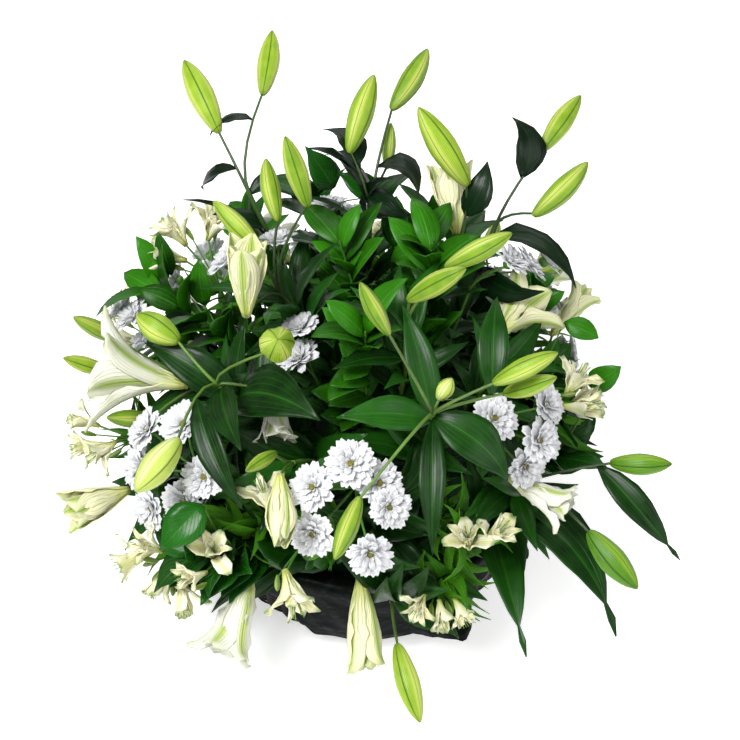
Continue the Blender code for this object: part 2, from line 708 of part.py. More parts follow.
def make_liner():
    """The film: a thin cup inside the basket, folded over the border, its corners standing out."""
    low, fold = BASE_THICKNESS + GAP, LINER_OVER_BORDER
    bm = bmesh.new()
    outer, inner = [], []
    for i in range(LINER_SIDES):
        degrees = 360 * i / LINER_SIDES
        spoke = direction(degrees, 0)
        reach, drop = skirt_at(degrees)
        below = [
            (LINER_LOW_RADIUS, low),
            (LINER_TOP_RADIUS, WALL_HEIGHT),
            (LINER_TOP_RADIUS, fold),
            (FOLD_RADIUS, fold),
            (reach, fold - drop),
        ]
        above = [
            (LINER_LOW_RADIUS - FILM, low + FILM),
            (LINER_TOP_RADIUS - FILM, WALL_HEIGHT),
            (LINER_TOP_RADIUS - FILM, fold + FILM),
            (FOLD_RADIUS, fold + FILM),
            (reach + FILM, fold - drop),
        ]
        outer.append([bm.verts.new(r * spoke + Vector((0, 0, z))) for r, z in below])
        inner.append([bm.verts.new(r * spoke + Vector((0, 0, z))) for r, z in above])
    for i in range(LINER_SIDES):
        j = (i + 1) % LINER_SIDES
        for skin, flip in ((outer, False), (inner, True)):
            for k in range(4):
                face = [skin[i][k], skin[j][k], skin[j][k + 1], skin[i][k + 1]]
                bm.faces.new(face[::-1] if flip else face)
        bm.faces.new((outer[i][4], outer[j][4], inner[j][4], inner[i][4]))
    bm.faces.new([skin[0] for skin in outer])
    bm.faces.new([skin[0] for skin in inner][::-1])
    add_object("film_liner", bm, "film")


def make_foam(lines):
    """The foam block, with a socket for each stem."""
    low = BASE_THICKNESS + FILM + 3 * GAP
    axis = Vector((0, 0, 1))
    rings = [circle(Vector((0, 0, low)), axis, FOAM_RADIUS, FOAM_SIDES)]
    for degrees in FOAM_DOME:
        a = math.radians(degrees)
        height = FOAM_SHOULDER + (FOAM_TOP - FOAM_SHOULDER) * math.sin(a)
        rings.append(circle(Vector((0, 0, height)), axis, FOAM_RADIUS * math.cos(a), FOAM_SIDES))
    foam = add_object("foam_block", loft(bmesh.new(), rings, end=Vector((0, 0, FOAM_TOP))), "foam")
    drills = bpy.data.collections.new("socket_drills")
    for radius, line in lines:
        aim = (line[1] - line[0]).normalized()
        drill = tube([line[0] - SOCKET_PLAY * aim, line[1]], radius + SOCKET_PLAY)
        drills.objects.link(add_object("socket_drill", drill, "foam"))
    cut = foam.modifiers.new("Sockets", "BOOLEAN")
    cut.operation = "DIFFERENCE"
    cut.operand_type = "COLLECTION"
    cut.collection = drills
    depsgraph = bpy.context.evaluated_depsgraph_get()
    drilled = bpy.data.meshes.new_from_object(foam.evaluated_get(depsgraph))
    foam.modifiers.clear()
    foam.data = drilled
    for drill in list(drills.objects):
        bpy.data.objects.remove(drill)
    bpy.data.collections.remove(drills)


def plant_cores():
    """Every stem's line, bare parts and kind, by its node's name."""
    cores = {}
    for name, plan in LILIES.items():
        cores[name] = (*lily_core(plan), "lily")
    for name, (foot, neck, heads) in CHRYSANTHEMUMS.items():
        cores[name] = (*chrysanthemum_core(foot, neck, heads), "chrysanthemum")
    for name, (foot, neck, florets) in ALSTROEMERIAS.items():
        cores[name] = (*alstroemeria_core(foot, neck, florets), "alstroemeria")
    for kind, stems in (("ruscus", RUSCUS), ("salal", SALAL)):
        for name, (foot, tip, _) in stems.items():
            line = stem_line(foot, metres(tip))
            cores[name] = (line, [tube(line, STEM_RADIUS[kind])], kind)
    return cores


def leaf_count(name, kind):
    """How many leaves of a stem are set by turning round it."""
    if kind == "lily":
        return LILIES[name]["more_leaves"]
    if kind == "ruscus":
        return RUSCUS[name][2]
    if kind == "salal":
        return SALAL[name][2]
    return CHRYSANTHEMUM_LEAVES if kind == "chrysanthemum" else ALSTROEMERIA_LEAVES


def leaf_start(plan, line, start):
    """Where a big leaf starts: on its stem, or on the stalk of one of its flowers."""
    if not isinstance(start, tuple):
        return along(line, start)[0]
    flower_number, share = start
    _, base, tip = plan["flowers"][flower_number]
    base, tip = metres(base), metres(tip)
    return along(stalk_line(line, base, (tip - base).normalized()), share)[0]


def leaves_of(name, line, kind, neighbours, turned):
    """The leaves of one stem, kept clear of every neighbour."""
    blades = []
    for start, tip, width in LILIES[name]["leaves"] if kind == "lily" else ():
        base = leaf_start(LILIES[name], line, start)
        if leaf_clear_of(neighbours, base, metres(tip), width * CM):
            blades.append(blade(base, metres(tip), width * CM))
    return blades + set_leaves(line, leaf_count(name, kind), kind, neighbours, turned)


def make_stems():
    """Every cut stem as one solid; returns each one's radius and line for its socket."""
    cores = plant_cores()
    trees = {name: [BVHTree.FromBMesh(part) for part in parts] for name, (_, parts, _) in cores.items()}
    depsgraph = bpy.context.evaluated_depsgraph_get()
    holder = [
        BVHTree.FromObject(bpy.data.objects[part], depsgraph)
        for part in ("film_liner", "basket_wall", "basket_border")
    ]
    for order, (name, (line, parts, kind)) in enumerate(cores.items()):
        neighbours = holder + [tree for other, those in trees.items() if other != name for tree in those]
        for leaf in leaves_of(name, line, kind, neighbours, TURN_PER_STEM * order):
            trees[name].append(BVHTree.FromBMesh(leaf))
            parts.append(leaf)
        union(name, parts, kind)
    return [(STEM_RADIUS[kind], line) for line, _, kind in cores.values()]


def main():
    for old in list(bpy.data.objects):
        bpy.data.objects.remove(old)
    make_basket()
    make_liner()
    make_foam(make_stems())


main()
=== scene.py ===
# %% [markdown]
# # A round funeral flower basket
#
# The real object is a low basket of black-stained willow. A sheet of black film lines it, a block of wet foam
# fills it, and cut stems stand in the foam: white lilies, spray chrysanthemums, alstroemeria and glossy
# foliage. The solid model already holds every stem as a plain shape. This script grows the finished flowers,
# leaves, weave and film on those places, gives each one its material, and lights them.
#
# Everything is in metres, +Z is up and -Y is the front.

# %% Load the frame
import json
import math
import random

import bmesh
import bpy
from mathutils import Matrix, Vector, noise
from mathutils.bvhtree import BVHTree

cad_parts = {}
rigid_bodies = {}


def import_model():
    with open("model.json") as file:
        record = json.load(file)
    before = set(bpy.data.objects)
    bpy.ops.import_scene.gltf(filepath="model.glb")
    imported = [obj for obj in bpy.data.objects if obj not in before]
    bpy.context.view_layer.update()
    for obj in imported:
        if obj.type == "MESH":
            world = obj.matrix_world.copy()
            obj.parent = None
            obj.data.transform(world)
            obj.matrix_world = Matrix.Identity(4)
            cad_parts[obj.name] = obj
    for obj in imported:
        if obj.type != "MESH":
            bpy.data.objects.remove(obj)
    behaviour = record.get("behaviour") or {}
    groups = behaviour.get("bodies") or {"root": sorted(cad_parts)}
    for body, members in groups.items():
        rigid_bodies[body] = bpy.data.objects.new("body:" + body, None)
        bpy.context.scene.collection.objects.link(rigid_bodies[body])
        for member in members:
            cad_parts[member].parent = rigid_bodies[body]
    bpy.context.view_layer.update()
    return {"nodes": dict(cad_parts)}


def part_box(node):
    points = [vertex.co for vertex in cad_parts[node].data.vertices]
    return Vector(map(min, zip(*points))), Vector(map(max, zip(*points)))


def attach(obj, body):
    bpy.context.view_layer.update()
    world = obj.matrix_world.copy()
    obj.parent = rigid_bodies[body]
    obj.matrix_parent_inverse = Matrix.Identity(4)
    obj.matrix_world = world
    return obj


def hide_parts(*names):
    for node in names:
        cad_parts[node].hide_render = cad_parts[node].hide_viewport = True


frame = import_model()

dice = random.Random(20)
scene = bpy.context.scene
ORIGIN, UP = Vector((0, 0, 0)), Vector((0, 0, 1))

# %% [markdown]
# ## Camera
# The basket is seen from the front and from well above, so the dome of flowers fills the view and the container
# only just shows under it. A short lens close by would swell the near stems; a long one further off keeps the
# far stems nearly as big as the near ones, so it is used here.

# %% Camera
VIEW_TARGET = Vector((0.005, 0, 0.28))
VIEW_DISTANCE = 1.85
VIEW_PITCH = math.radians(45)
back_along_view = Vector((0, -math.cos(VIEW_PITCH), math.sin(VIEW_PITCH)))
bpy.ops.object.camera_add(
    location=VIEW_TARGET + VIEW_DISTANCE * back_along_view,
    rotation=(math.pi / 2 - VIEW_PITCH, 0, 0),
)
camera = bpy.context.object
camera.data.lens = 75
camera.data.sensor_width = 36
scene.camera = camera
print("camera at", tuple(round(c, 3) for c in camera.location))

# %% [markdown]
# ## Nodes in a few words
# Materials are node trees. They could be wired by hand in the editor, or written out link by link; a small
# class of short steps keeps each material below readable as a recipe: first the masks, then the colours they
# mix, then the shader. Colours are the three numbers from 0 to 255 that a paint program shows, and `paint`
# turns them into the linear light that Blender's sockets want.


# %% Node helpers
def paint(red, green, blue):
    """A linear colour with full alpha from display numbers of 0 to 255."""
    def linear(value):
        share = value / 255
        return share / 12.92 if share <= 0.04045 else ((share + 0.055) / 1.055) ** 2.4
    return linear(red), linear(green), linear(blue), 1.0


class Recipe:
    """A node tree, with a short step for each thing that a finish is made of."""

    def __init__(self, tree):
        self.tree = tree

    def node(self, kind, inputs=(), **settings):
        """A new node with its settings made and its inputs set or linked."""
        made = self.tree.nodes.new(kind)
        for key, value in settings.items():
            setattr(made, key, value)
        for key, value in dict(inputs).items():
            self.put(made.inputs[key], value)
        return made

    def put(self, socket, value):
        """Links a value to a socket, or sets it there."""
        if isinstance(value, bpy.types.NodeSocket):
            self.tree.links.new(value, socket)
        else:
            socket.default_value = value

    def maths(self, operation, first, second=0.0, clamp=False):
        inputs = {0: first, 1: second}
        return self.node("ShaderNodeMath", inputs, operation=operation, use_clamp=clamp).outputs[0]

    def times(self, first, second, clamp=False):
        return self.maths("MULTIPLY", first, second, clamp)

    def plus(self, first, second, clamp=False):
        return self.maths("ADD", first, second, clamp)

    def minus(self, first, second):
        return self.maths("SUBTRACT", first, second)

    def off_centre(self, value):
        """How far a value lies from one half."""
        return self.maths("ABSOLUTE", self.minus(value, 0.5))

    def ramp(self, value, start, end, low=0.0, high=1.0):
        """A value eased from low to high as it goes from start to end."""
        places = {"Value": value, "From Min": start, "From Max": end, "To Min": low, "To Max": high}
        return self.node("ShaderNodeMapRange", places, interpolation_type="SMOOTHSTEP").outputs["Result"]

    def mix(self, share, *pair):
        """Two colours, as sockets or display numbers, mixed by a share."""
        first, second = [c if isinstance(c, bpy.types.NodeSocket) else paint(*c) for c in pair]
        return self.node("ShaderNodeMix", {0: share, 6: first, 7: second}, data_type="RGBA").outputs[2]

    def layered(self, colour, *layers):
        """A colour with others over it, each given as its mask, the mask's strength and the colour."""
        for mask, strength, over in layers:
            colour = self.mix(self.times(mask, strength), colour, over)
        return colour

    def here(self):
        """The place of a point on its piece."""
        return self.node("ShaderNodeTexCoord").outputs["Object"]

    def noise(self, scale):
        places = {"Vector": self.here(), "Scale": scale, "Detail": 4.0}
        return self.node("ShaderNodeTexNoise", places).outputs["Fac"]

    def cells(self, scale, feature="F1", **inputs):
        """The distance from a point to the middle, or the edge, of its cell."""
        places = {"Vector": self.here(), "Scale": scale, **inputs}
        return self.node("ShaderNodeTexVoronoi", places, feature=feature).outputs["Distance"]

    def across_and_along(self):
        """Where a point lies on its leaf or petal: across it and along it, each from 0 to 1."""
        place = self.node("ShaderNodeSeparateXYZ", {0: self.node("ShaderNodeUVMap").outputs["UV"]})
        return place.outputs["X"], place.outputs["Y"]

    def tone(self):
        """The number from 0 to 1 that tells one copy of a leaf or petal from the next."""
        return self.node("ShaderNodeAttribute", attribute_name="tone").outputs["Fac"]

    def group(self, name, **inputs):
        """A group placed here, with its own values; returns its outputs."""
        made = self.node("ShaderNodeGroup", node_tree=bpy.data.node_groups[name])
        for key, value in inputs.items():
            self.put(made.inputs[key.replace("_", " ")], value)
        return made.outputs

    def mottle(self, scale, contrast):
        return self.group("Mottle", Scale=scale, Contrast=contrast)["Value"]


class Finish(Recipe):
    """A material round one Principled node, with these plain values on it."""

    def __init__(self, name, **plain):
        self.material = bpy.data.materials.new(name)
        self.material.use_nodes = True
        super().__init__(self.material.node_tree)
        self.shader = self.tree.nodes["Principled BSDF"]
        self.feed(**plain)

    def feed(self, **values):
        """Sets or links the shader's inputs."""
        for key, value in values.items():
            self.put(self.shader.inputs[key.replace("_", " ")], value)
        return self.material

    def finished(self, colour, roughness, height, depth):
        """Links colour, roughness and a relief whose full swing is depth in metres; returns the material."""
        bump = self.node("ShaderNodeBump", {"Height": height, "Distance": depth, "Strength": 1.0})
        return self.feed(Base_Color=colour, Roughness=roughness, Normal=bump.outputs["Normal"])


print("olive as linear light:", [round(c, 3) for c in paint(84, 88, 18)])

# %% [markdown]
# ## Shared effects
# Four effects turn up again and again, so each is a node group. *Mottle* is the soft unevenness of anything
# grown or dyed. *Veins* draws a leaf's nerves: side by side from foot to tip in lilies, fanned from a midrib in
# salal. *Bands* finds the middle, the seams, the foot and the tip of a petal. *Crumple* makes the flat facets
# and sharp ridges of creased film.


# %% Shared effects
def new_group(name, gives, **takes):
    """An empty shader group with float sockets; returns its recipe, what it takes and where it gives."""
    tree = bpy.data.node_groups.new(name, "ShaderNodeTree")
    for label, value in takes.items():
        label = label.replace("_", " ")
        socket = tree.interface.new_socket(label, in_out="INPUT", socket_type="NodeSocketFloat")
        socket.default_value = value
    for label in gives:
        tree.interface.new_socket(label, in_out="OUTPUT", socket_type="NodeSocketFloat")
    return Recipe(tree), tree.nodes.new("NodeGroupInput").outputs, tree.nodes.new("NodeGroupOutput").inputs


mottle, takes, gives = new_group("Mottle", ["Value"], Scale=30.0, Contrast=1.0)
spread = mottle.times(mottle.minus(mottle.noise(takes["Scale"]), 0.5), takes["Contrast"])
mottle.put(gives["Value"], mottle.plus(spread, 0.5, clamp=True))

veins, takes, gives = new_group(
    "Veins", ["Line", "Midrib"], Across=0.5, Along=0.5, Side_By_Side=9.0, Fanned=0.0, Slope=0.0
)
aside = veins.off_centre(takes["Across"])
parallel = veins.times(takes["Across"], takes["Side By Side"])
fan = veins.minus(veins.times(takes["Along"], takes["Fanned"]), veins.times(aside, takes["Slope"]))
cycle = veins.maths("FRACT", veins.plus(veins.plus(parallel, fan), 20.0))
veins.put(gives["Line"], veins.ramp(veins.off_centre(cycle), 0.34, 0.5))
veins.put(gives["Midrib"], veins.ramp(aside, 0.045, 0.0))

bands, takes, gives = new_group("Bands", ["Middle", "Seam", "Foot", "Tip"], Across=0.5, Along=0.5)
aside = bands.off_centre(takes["Across"])
for label, value, start, end in (
    ("Middle", aside, 0.24, 0.02), ("Seam", aside, 0.44, 0.5),
    ("Foot", takes["Along"], 0.45, 0.0), ("Tip", takes["Along"], 0.80, 1.0),
):
    bands.put(gives[label], bands.ramp(value, start, end))

crumple, takes, gives = new_group("Crumple", ["Ridge"], Scale=20.0)
ridge = crumple.cells(takes["Scale"], "DISTANCE_TO_EDGE", Randomness=1.0)
crumple.put(gives["Ridge"], crumple.ramp(ridge, 0.0, 0.35))
print("groups:", sorted(group.name for group in bpy.data.node_groups))

# %% [markdown]
# ## Leaf finishes
# All the leaves are glossy or matte greens with nerves. Each could have a tree of its own, but one recipe with
# its own colours serves them all and keeps them in tune. The tone of a copy and a soft mottle choose between a
# dark and a light green; the nerves are paler and pressed in.


# %% Leaf finishes
def leaf_finish(name, dark, light, nerve, roughness, nerves, coat=0.0, relief=0.0004, show=0.4):
    """A leaf's material: two greens, the colour of its nerves and how they run."""
    leaf = Finish(name, Coat_Weight=coat, Coat_Roughness=0.22, Specular_IOR_Level=0.14)
    across, along = leaf.across_and_along()
    drawn = leaf.group("Veins", Across=across, Along=along, **nerves)
    clouds = leaf.mottle(55.0, 1.6)
    patch = leaf.plus(leaf.times(leaf.tone(), 0.65), leaf.times(clouds, 0.35))
    green = leaf.mix(patch, dark, light)
    ribbed = leaf.layered(green, (drawn["Line"], show, nerve), (drawn["Midrib"], show + 0.25, nerve))
    sunk = leaf.minus(leaf.minus(leaf.times(clouds, 0.5), drawn["Line"]), drawn["Midrib"])
    return leaf.finished(ribbed, leaf.ramp(clouds, 0.2, 0.8, roughness - 0.07, roughness + 0.09), sunk, relief)


PARALLEL = dict(Side_By_Side=9.0)
FINE_PARALLEL = dict(Side_By_Side=6.0)
FANNED = dict(Side_By_Side=0.0, Fanned=9.0, Slope=9.0)
SMOOTH = dict(relief=0.0002)
lily_leaf = leaf_finish(
    "lily leaf", (2, 13, 3), (30, 88, 14), (52, 112, 30), 0.36, PARALLEL, coat=0.12, show=0.13, **SMOOTH
)
lily_bract = leaf_finish(
    "lily bract", (3, 13, 5), (10, 38, 12), (24, 58, 22), 0.40, PARALLEL, coat=0.14, show=0.15, **SMOOTH
)
ruscus_leaf = leaf_finish(
    "ruscus leaf", (6, 36, 3), (50, 124, 12), (70, 138, 26), 0.38, FINE_PARALLEL, coat=0.1, show=0.2, **SMOOTH
)
salal_leaf = leaf_finish(
    "salal leaf", (4, 30, 5), (26, 94, 13), (50, 116, 32), 0.32, FANNED, coat=0.18, show=0.25
)
mum_leaf = leaf_finish(
    "chrysanthemum leaf", (26, 70, 24), (60, 112, 44), (96, 140, 74), 0.62, FANNED, relief=0.0006
)
slim_leaf = leaf_finish(
    "alstroemeria leaf", (20, 80, 8), (84, 152, 22), (120, 176, 48), 0.42, FINE_PARALLEL, show=0.3
)
print("leaf finishes:", [m.name for m in (lily_leaf, lily_bract, ruscus_leaf, salal_leaf, mum_leaf, slim_leaf)])

# %% [markdown]
# ## Stalk finish
# Lily stalks are green with a brown blush, and the thinner sprays are plain fresh green. A second, much finer
# mottle speckles them and gives them the faint grain of a real skin, which one soft colour would lack.


# %% Stalk finishes
def stalk_finish(name, green, blush, amount):
    """A green stalk with a blush of a second colour."""
    stalk = Finish(name)
    clouds, fine = stalk.mottle(26.0, 2.4), stalk.mottle(700.0, 1.5)
    uneven = stalk.times(stalk.plus(clouds, stalk.tone()), 0.5 * amount, clamp=True)
    speckled = stalk.layered(stalk.mix(uneven, green, blush), (fine, 0.3, (24, 48, 18)))
    return stalk.finished(speckled, stalk.ramp(fine, 0.2, 0.8, 0.38, 0.55), fine, 0.0003)


lily_stalk = stalk_finish("lily stalk", (98, 140, 44), (46, 54, 24), 0.9)
dark_stalk = stalk_finish("dark lily stalk", (56, 88, 30), (36, 42, 20), 0.9)
green_stalk = stalk_finish("green stalk", (82, 136, 40), (46, 90, 26), 0.8)
print("stalk finishes:", [m.name for m in (lily_stalk, dark_stalk, green_stalk)])

# %% [markdown]
# ## Lily buds and tepals
# A lily bud is three outer tepals that still touch along dark seams, each with a pale band and a rib down its
# middle. When they part, their faces turn white, and the green stays in the throat, along the ribs and at the
# tips. Both finishes therefore use the same bands with different colours.


# %% Lily finishes
def bud_finish(name, deep, fresh, pale, seam):
    """Closed tepals: three to a turn of the bud."""
    bud = Finish(name, Coat_Weight=0.05, Coat_Roughness=0.3, Specular_IOR_Level=0.3)
    turn, along = bud.across_and_along()
    across = bud.maths("FRACT", bud.times(turn, 3.0))
    bands = bud.group("Bands", Across=across, Along=along)
    drawn = bud.group("Veins", Across=across, Along=along, Side_By_Side=14.0)
    clouds = bud.mottle(70.0, 1.5)
    green = bud.mix(bud.times(bud.plus(bud.tone(), clouds), 0.5), deep, fresh)
    footed = bud.layered(
        green, (bands["Middle"], 0.75, pale), (drawn["Line"], 0.22, seam), (drawn["Midrib"], 0.45, seam),
        (bands["Seam"], 0.9, seam), (bands["Foot"], 0.35, deep),
    )
    tipped = bud.mix(bud.ramp(along, 0.93, 1.0, 0.0, 0.75), footed, seam)
    height = bud.minus(1.0, bud.plus(bud.plus(bands["Seam"], drawn["Midrib"]), drawn["Line"]))
    return bud.finished(tipped, bud.ramp(clouds, 0.2, 0.8, 0.34, 0.50), height, 0.0005)


def tepal_finish(name, face, throat, rib, reach, tip_share):
    """An open tepal: its white face, its throat, the green of its rib and how far up the rib the green goes."""
    tepal = Finish(name, Sheen_Weight=0.15, Sheen_Roughness=0.4)
    across, along = tepal.across_and_along()
    bands = tepal.group("Bands", Across=across, Along=along)
    drawn = tepal.group("Veins", Across=across, Along=along, Side_By_Side=12.0)
    clouds = tepal.mottle(60.0, 1.4)
    shade = tepal.times(tepal.plus(tepal.tone(), clouds), 0.5)
    throated = tepal.layered(tepal.mix(shade, [0.90 * c for c in face], face), (bands["Foot"], 0.85, throat))
    tipped = tepal.layered(
        throated, (bands["Middle"], tepal.ramp(along, 1.0, reach, 0.25, 0.85), rib),
        (drawn["Line"], 0.16, throat), (bands["Tip"], tip_share, rib),
    )
    height = tepal.minus(tepal.times(clouds, 0.8), tepal.plus(drawn["Line"], drawn["Midrib"]))
    return tepal.finished(tipped, tepal.ramp(clouds, 0.2, 0.8, 0.42, 0.58), height, 0.0006)


lily_bud = bud_finish("lily bud", (84, 128, 8), (160, 190, 52), (202, 212, 104), (60, 86, 10))
fresh_bud = bud_finish("fresh lily bud", (50, 102, 4), (92, 142, 10), (142, 176, 50), (34, 64, 6))
pale_bud = bud_finish("pale lily bud", (148, 178, 58), (196, 212, 104), (226, 232, 168), (96, 122, 34))
# The cream finish is the tepals' own cream; on the shaded lily it is painted shade on the backs of the tepals.
cream_and_shade_tepal = tepal_finish("cream lily tepal and painted shade", (236, 235, 190), (204, 212, 92), (146, 178, 36), 0.95, 0.2)
white_tepal = tepal_finish("lily tepal", (243, 243, 230), (204, 214, 104), (164, 188, 62), 0.85, 0.2)
ribbed_tepal = tepal_finish("ribbed lily tepal", (238, 238, 220), (198, 206, 80), (140, 168, 26), 0.8, 0.3)
throat = Finish("lily heart", Coat_Weight=0.2)
clouds = throat.mottle(90.0, 1.6)
heart = throat.feed(
    Base_Color=throat.mix(clouds, (150, 176, 70), (206, 218, 140)),
    Roughness=throat.ramp(clouds, 0.2, 0.8, 0.35, 0.5),
)
print("lily finishes:", [
    m.name for m in (lily_bud, fresh_bud, pale_bud, cream_and_shade_tepal, white_tepal, ribbed_tepal, heart)
])

# %% [markdown]
# ## Chrysanthemum and alstroemeria finishes
# The double chrysanthemums are pure white, with a cool painted shade at the foot of each petal, fine ribs along
# it, and a small olive centre; a little light goes through the petals, so their shadows stay soft. The
# alstroemerias are cream, with a yellow-green throat, green points and the short dark flecks that all their
# kind carry on the inner petals. Cells stretched along the petal make the flecks; painting each one would take
# far longer.


# %% Chrysanthemum and alstroemeria finishes
def make_mum_petal():
    """The white petal of a chrysanthemum."""
    petal = Finish(
        "chrysanthemum petal", Sheen_Weight=0.2, Sheen_Roughness=0.5,
        Subsurface_Weight=0.35, Subsurface_Radius=(1, 1, 1), Subsurface_Scale=0.002
    )
    across, along = petal.across_and_along()
    ribs = petal.group("Veins", Across=across, Along=along, Side_By_Side=4.0)["Line"]
    foot = petal.group("Bands", Across=across, Along=along)["Foot"]
    white = petal.mix(petal.tone(), (208, 209, 212), (225, 226, 229))
    # The foot of each petal is painted a little grey: painted shade where the rings overlap. The ribs are the
    # petal's own lines.
    lined = petal.layered(white, (foot, 0.5, (200, 204, 204)), (ribs, 0.25, (210, 213, 218)))
    return petal.finished(lined, petal.ramp(along, 0.0, 1.0, 0.62, 0.52), petal.minus(1.0, ribs), 0.0004)


def make_mum_centre():
    """The bumpy olive centre of a chrysanthemum."""
    centre = Finish("chrysanthemum centre")
    dots = centre.cells(700.0)
    olive = centre.mix(centre.mottle(200.0, 1.6), (84, 88, 18), (164, 154, 44))
    pitted = centre.mix(centre.ramp(dots, 0.2, 0.7, 0.0, 0.6), olive, (48, 54, 12))
    return centre.finished(pitted, centre.ramp(dots, 0.1, 0.8, 0.5, 0.75), dots, -0.0006)


def alstroemeria_finish(name, flecks):
    """A petal of an alstroemeria, with this much of its flecks."""
    petal = Finish(name, Sheen_Weight=0.15, Sheen_Roughness=0.4)
    across, along = petal.across_and_along()
    bands = petal.group("Bands", Across=across, Along=along)
    drawn = petal.group("Veins", Across=across, Along=along, Side_By_Side=8.0)
    lined = petal.layered(
        petal.mix(petal.tone(), (234, 230, 184), (248, 246, 222)), (bands["Foot"], 0.85, (196, 206, 62)),
        (bands["Middle"], 0.5, (208, 214, 92)), (drawn["Line"], 0.18, (176, 190, 96)),
    )
    tipped = petal.mix(petal.ramp(along, 0.84, 1.0, 0.0, 0.8), lined, (112, 146, 58))
    stretched = {0: petal.times(across, 11.0), 1: petal.times(along, 6.0)}
    dashes = petal.node("ShaderNodeCombineXYZ", stretched).outputs[0]
    cells = petal.node("ShaderNodeTexVoronoi", {"Vector": dashes, "Scale": 1.0}, voronoi_dimensions="2D")
    spot = petal.times(petal.ramp(cells.outputs["Distance"], 0.30, 0.16), petal.ramp(along, 0.85, 0.6))
    flecked = petal.layered(tipped, (spot, flecks, (92, 44, 34)))
    roughness = petal.ramp(along, 0.0, 1.0, 0.5, 0.6)
    return petal.finished(flecked, roughness, petal.minus(1.0, drawn["Line"]), 0.0004)


mum_petal = make_mum_petal()
mum_centre = make_mum_centre()
outer_petal = alstroemeria_finish("alstroemeria outer petal", 0.0)
inner_petal = alstroemeria_finish("alstroemeria inner petal", 0.9)
slim_bud = bud_finish("alstroemeria bud", (92, 138, 44), (150, 182, 84), (206, 212, 146), (70, 100, 36))
print("flower finishes:", [m.name for m in (mum_petal, mum_centre, outer_petal, inner_petal, slim_bud)])

# %% [markdown]
# ## Container finishes
# The willow is stained almost black and has a low satin shine, and each rod took the stain a little
# differently. The film is black polythene: smooth, glossy and faintly grey-green, with creases where it was
# folded and a painted grey sheen along the crease ridges. The foam is soaked: dark green, and pitted like a
# sponge. All three are masks over a dark base, since a single dark colour would hide every form.


# %% Container finishes
def make_willow():
    """Black-stained willow rods."""
    rods = Finish("stained willow", Coat_Weight=0.1, Coat_Roughness=0.35)
    clouds, grain = rods.mottle(60.0, 1.8), rods.mottle(900.0, 1.6)
    stain = rods.mix(rods.tone(), (16, 15, 14), (44, 39, 34))
    worn = rods.mix(rods.ramp(clouds, 0.62, 0.9, 0.0, 0.5), stain, (74, 62, 48))
    return rods.finished(
        rods.layered(worn, (grain, 0.3, (10, 10, 10))), rods.ramp(clouds, 0.2, 0.8, 0.36, 0.56), grain, 0.0004
    )


def make_film():
    """Creased black film, with a painted sheen along its crease ridges."""
    sheet = Finish("black film", Coat_Weight=0.02, Coat_Roughness=0.15, Specular_IOR_Level=0.04)
    ridges, small = [sheet.group("Crumple", Scale=scale)["Ridge"] for scale in (22.0, 70.0)]
    clouds = sheet.mottle(14.0, 1.6)
    base = sheet.mix(clouds, (4, 9, 6), (11, 18, 14))
    # The crease ridges are painted a lighter grey-blue: a painted sheen on the film.
    crease_sheen = sheet.mix(sheet.ramp(ridges, 0.25, 0.0, 0.0, 0.16), base, (44, 45, 54))
    height = sheet.plus(ridges, sheet.times(small, 0.25))
    return sheet.finished(crease_sheen, sheet.ramp(clouds, 0.2, 0.8, 0.28, 0.42), height, 0.0016)


def make_wet_foam():
    """Pitted wet foam."""
    foam = Finish("wet foam")
    pits, clouds = foam.cells(900.0), foam.mottle(30.0, 1.6)
    green = foam.mix(clouds, (16, 54, 34), (34, 84, 52))
    pitted = foam.mix(foam.ramp(pits, 0.35, 0.0, 0.0, 0.7), green, (8, 28, 18))
    return foam.finished(pitted, foam.ramp(clouds, 0.3, 0.7, 0.55, 0.9), pits, 0.0008)


willow = make_willow()
black_film = make_film()
wet_foam = make_wet_foam()
frame["nodes"]["foam_block"].data.materials.clear()
frame["nodes"]["foam_block"].data.materials.append(wet_foam)
print("container finishes:", [m.name for m in (willow, black_film, wet_foam)])

# %% [markdown]
# ## Working on one piece
# An operator acts on whatever is selected, so every step first selects one object and nothing else. Inside edit
# mode the vertices are chosen by number: a grid's rows and columns keep their numbers while they are moved.


# %% Selecting and finishing
def only(piece):
    """Selects this piece alone."""
    bpy.ops.object.select_all(action="DESELECT")
    piece.select_set(True)
    bpy.context.view_layer.objects.active = piece


def started(add_primitive, **settings):
    """A new primitive with its place and turn applied to its mesh."""
    bpy.ops.object.select_all(action="DESELECT")
    add_primitive(**settings)
    bpy.ops.object.transform_apply(location=True, rotation=True, scale=True)
    return bpy.context.object


def pick(piece, numbers):
    """Selects these vertices of the piece in edit mode; returns its vertices."""
    bpy.ops.mesh.select_all(action="DESELECT")
    mesh = bmesh.from_edit_mesh(piece.data)
    mesh.verts.ensure_lookup_table()
    for number in numbers:
        mesh.verts[number].select_set(True)
    mesh.select_flush_mode()
    return mesh.verts


def resize_ring(piece, numbers, share, height=0.0):
    """Scales these vertices away from the upright axis."""
    pick(piece, numbers)
    bpy.ops.transform.resize(value=(share, share, 1), center_override=(0, 0, height))


def applied(piece, kind, **settings):
    """Adds a modifier, sets it and applies it."""
    step = piece.modifiers.new("Step", kind)
    for key, value in settings.items():
        setattr(step, key, value)
    only(piece)
    bpy.ops.object.modifier_apply(modifier="Step")


def deformed(piece, method, axis, degrees):
    """Bends or twists a piece."""
    applied(piece, "SIMPLE_DEFORM", deform_method=method, deform_axis=axis, angle=math.radians(degrees))


def set_tone(mesh, tone):
    """Gives every vertex of a mesh the same tone."""
    layer = mesh.attributes.get("tone") or mesh.attributes.new("tone", "FLOAT", "POINT")
    layer.data.foreach_set("value", [tone] * len(mesh.vertices))


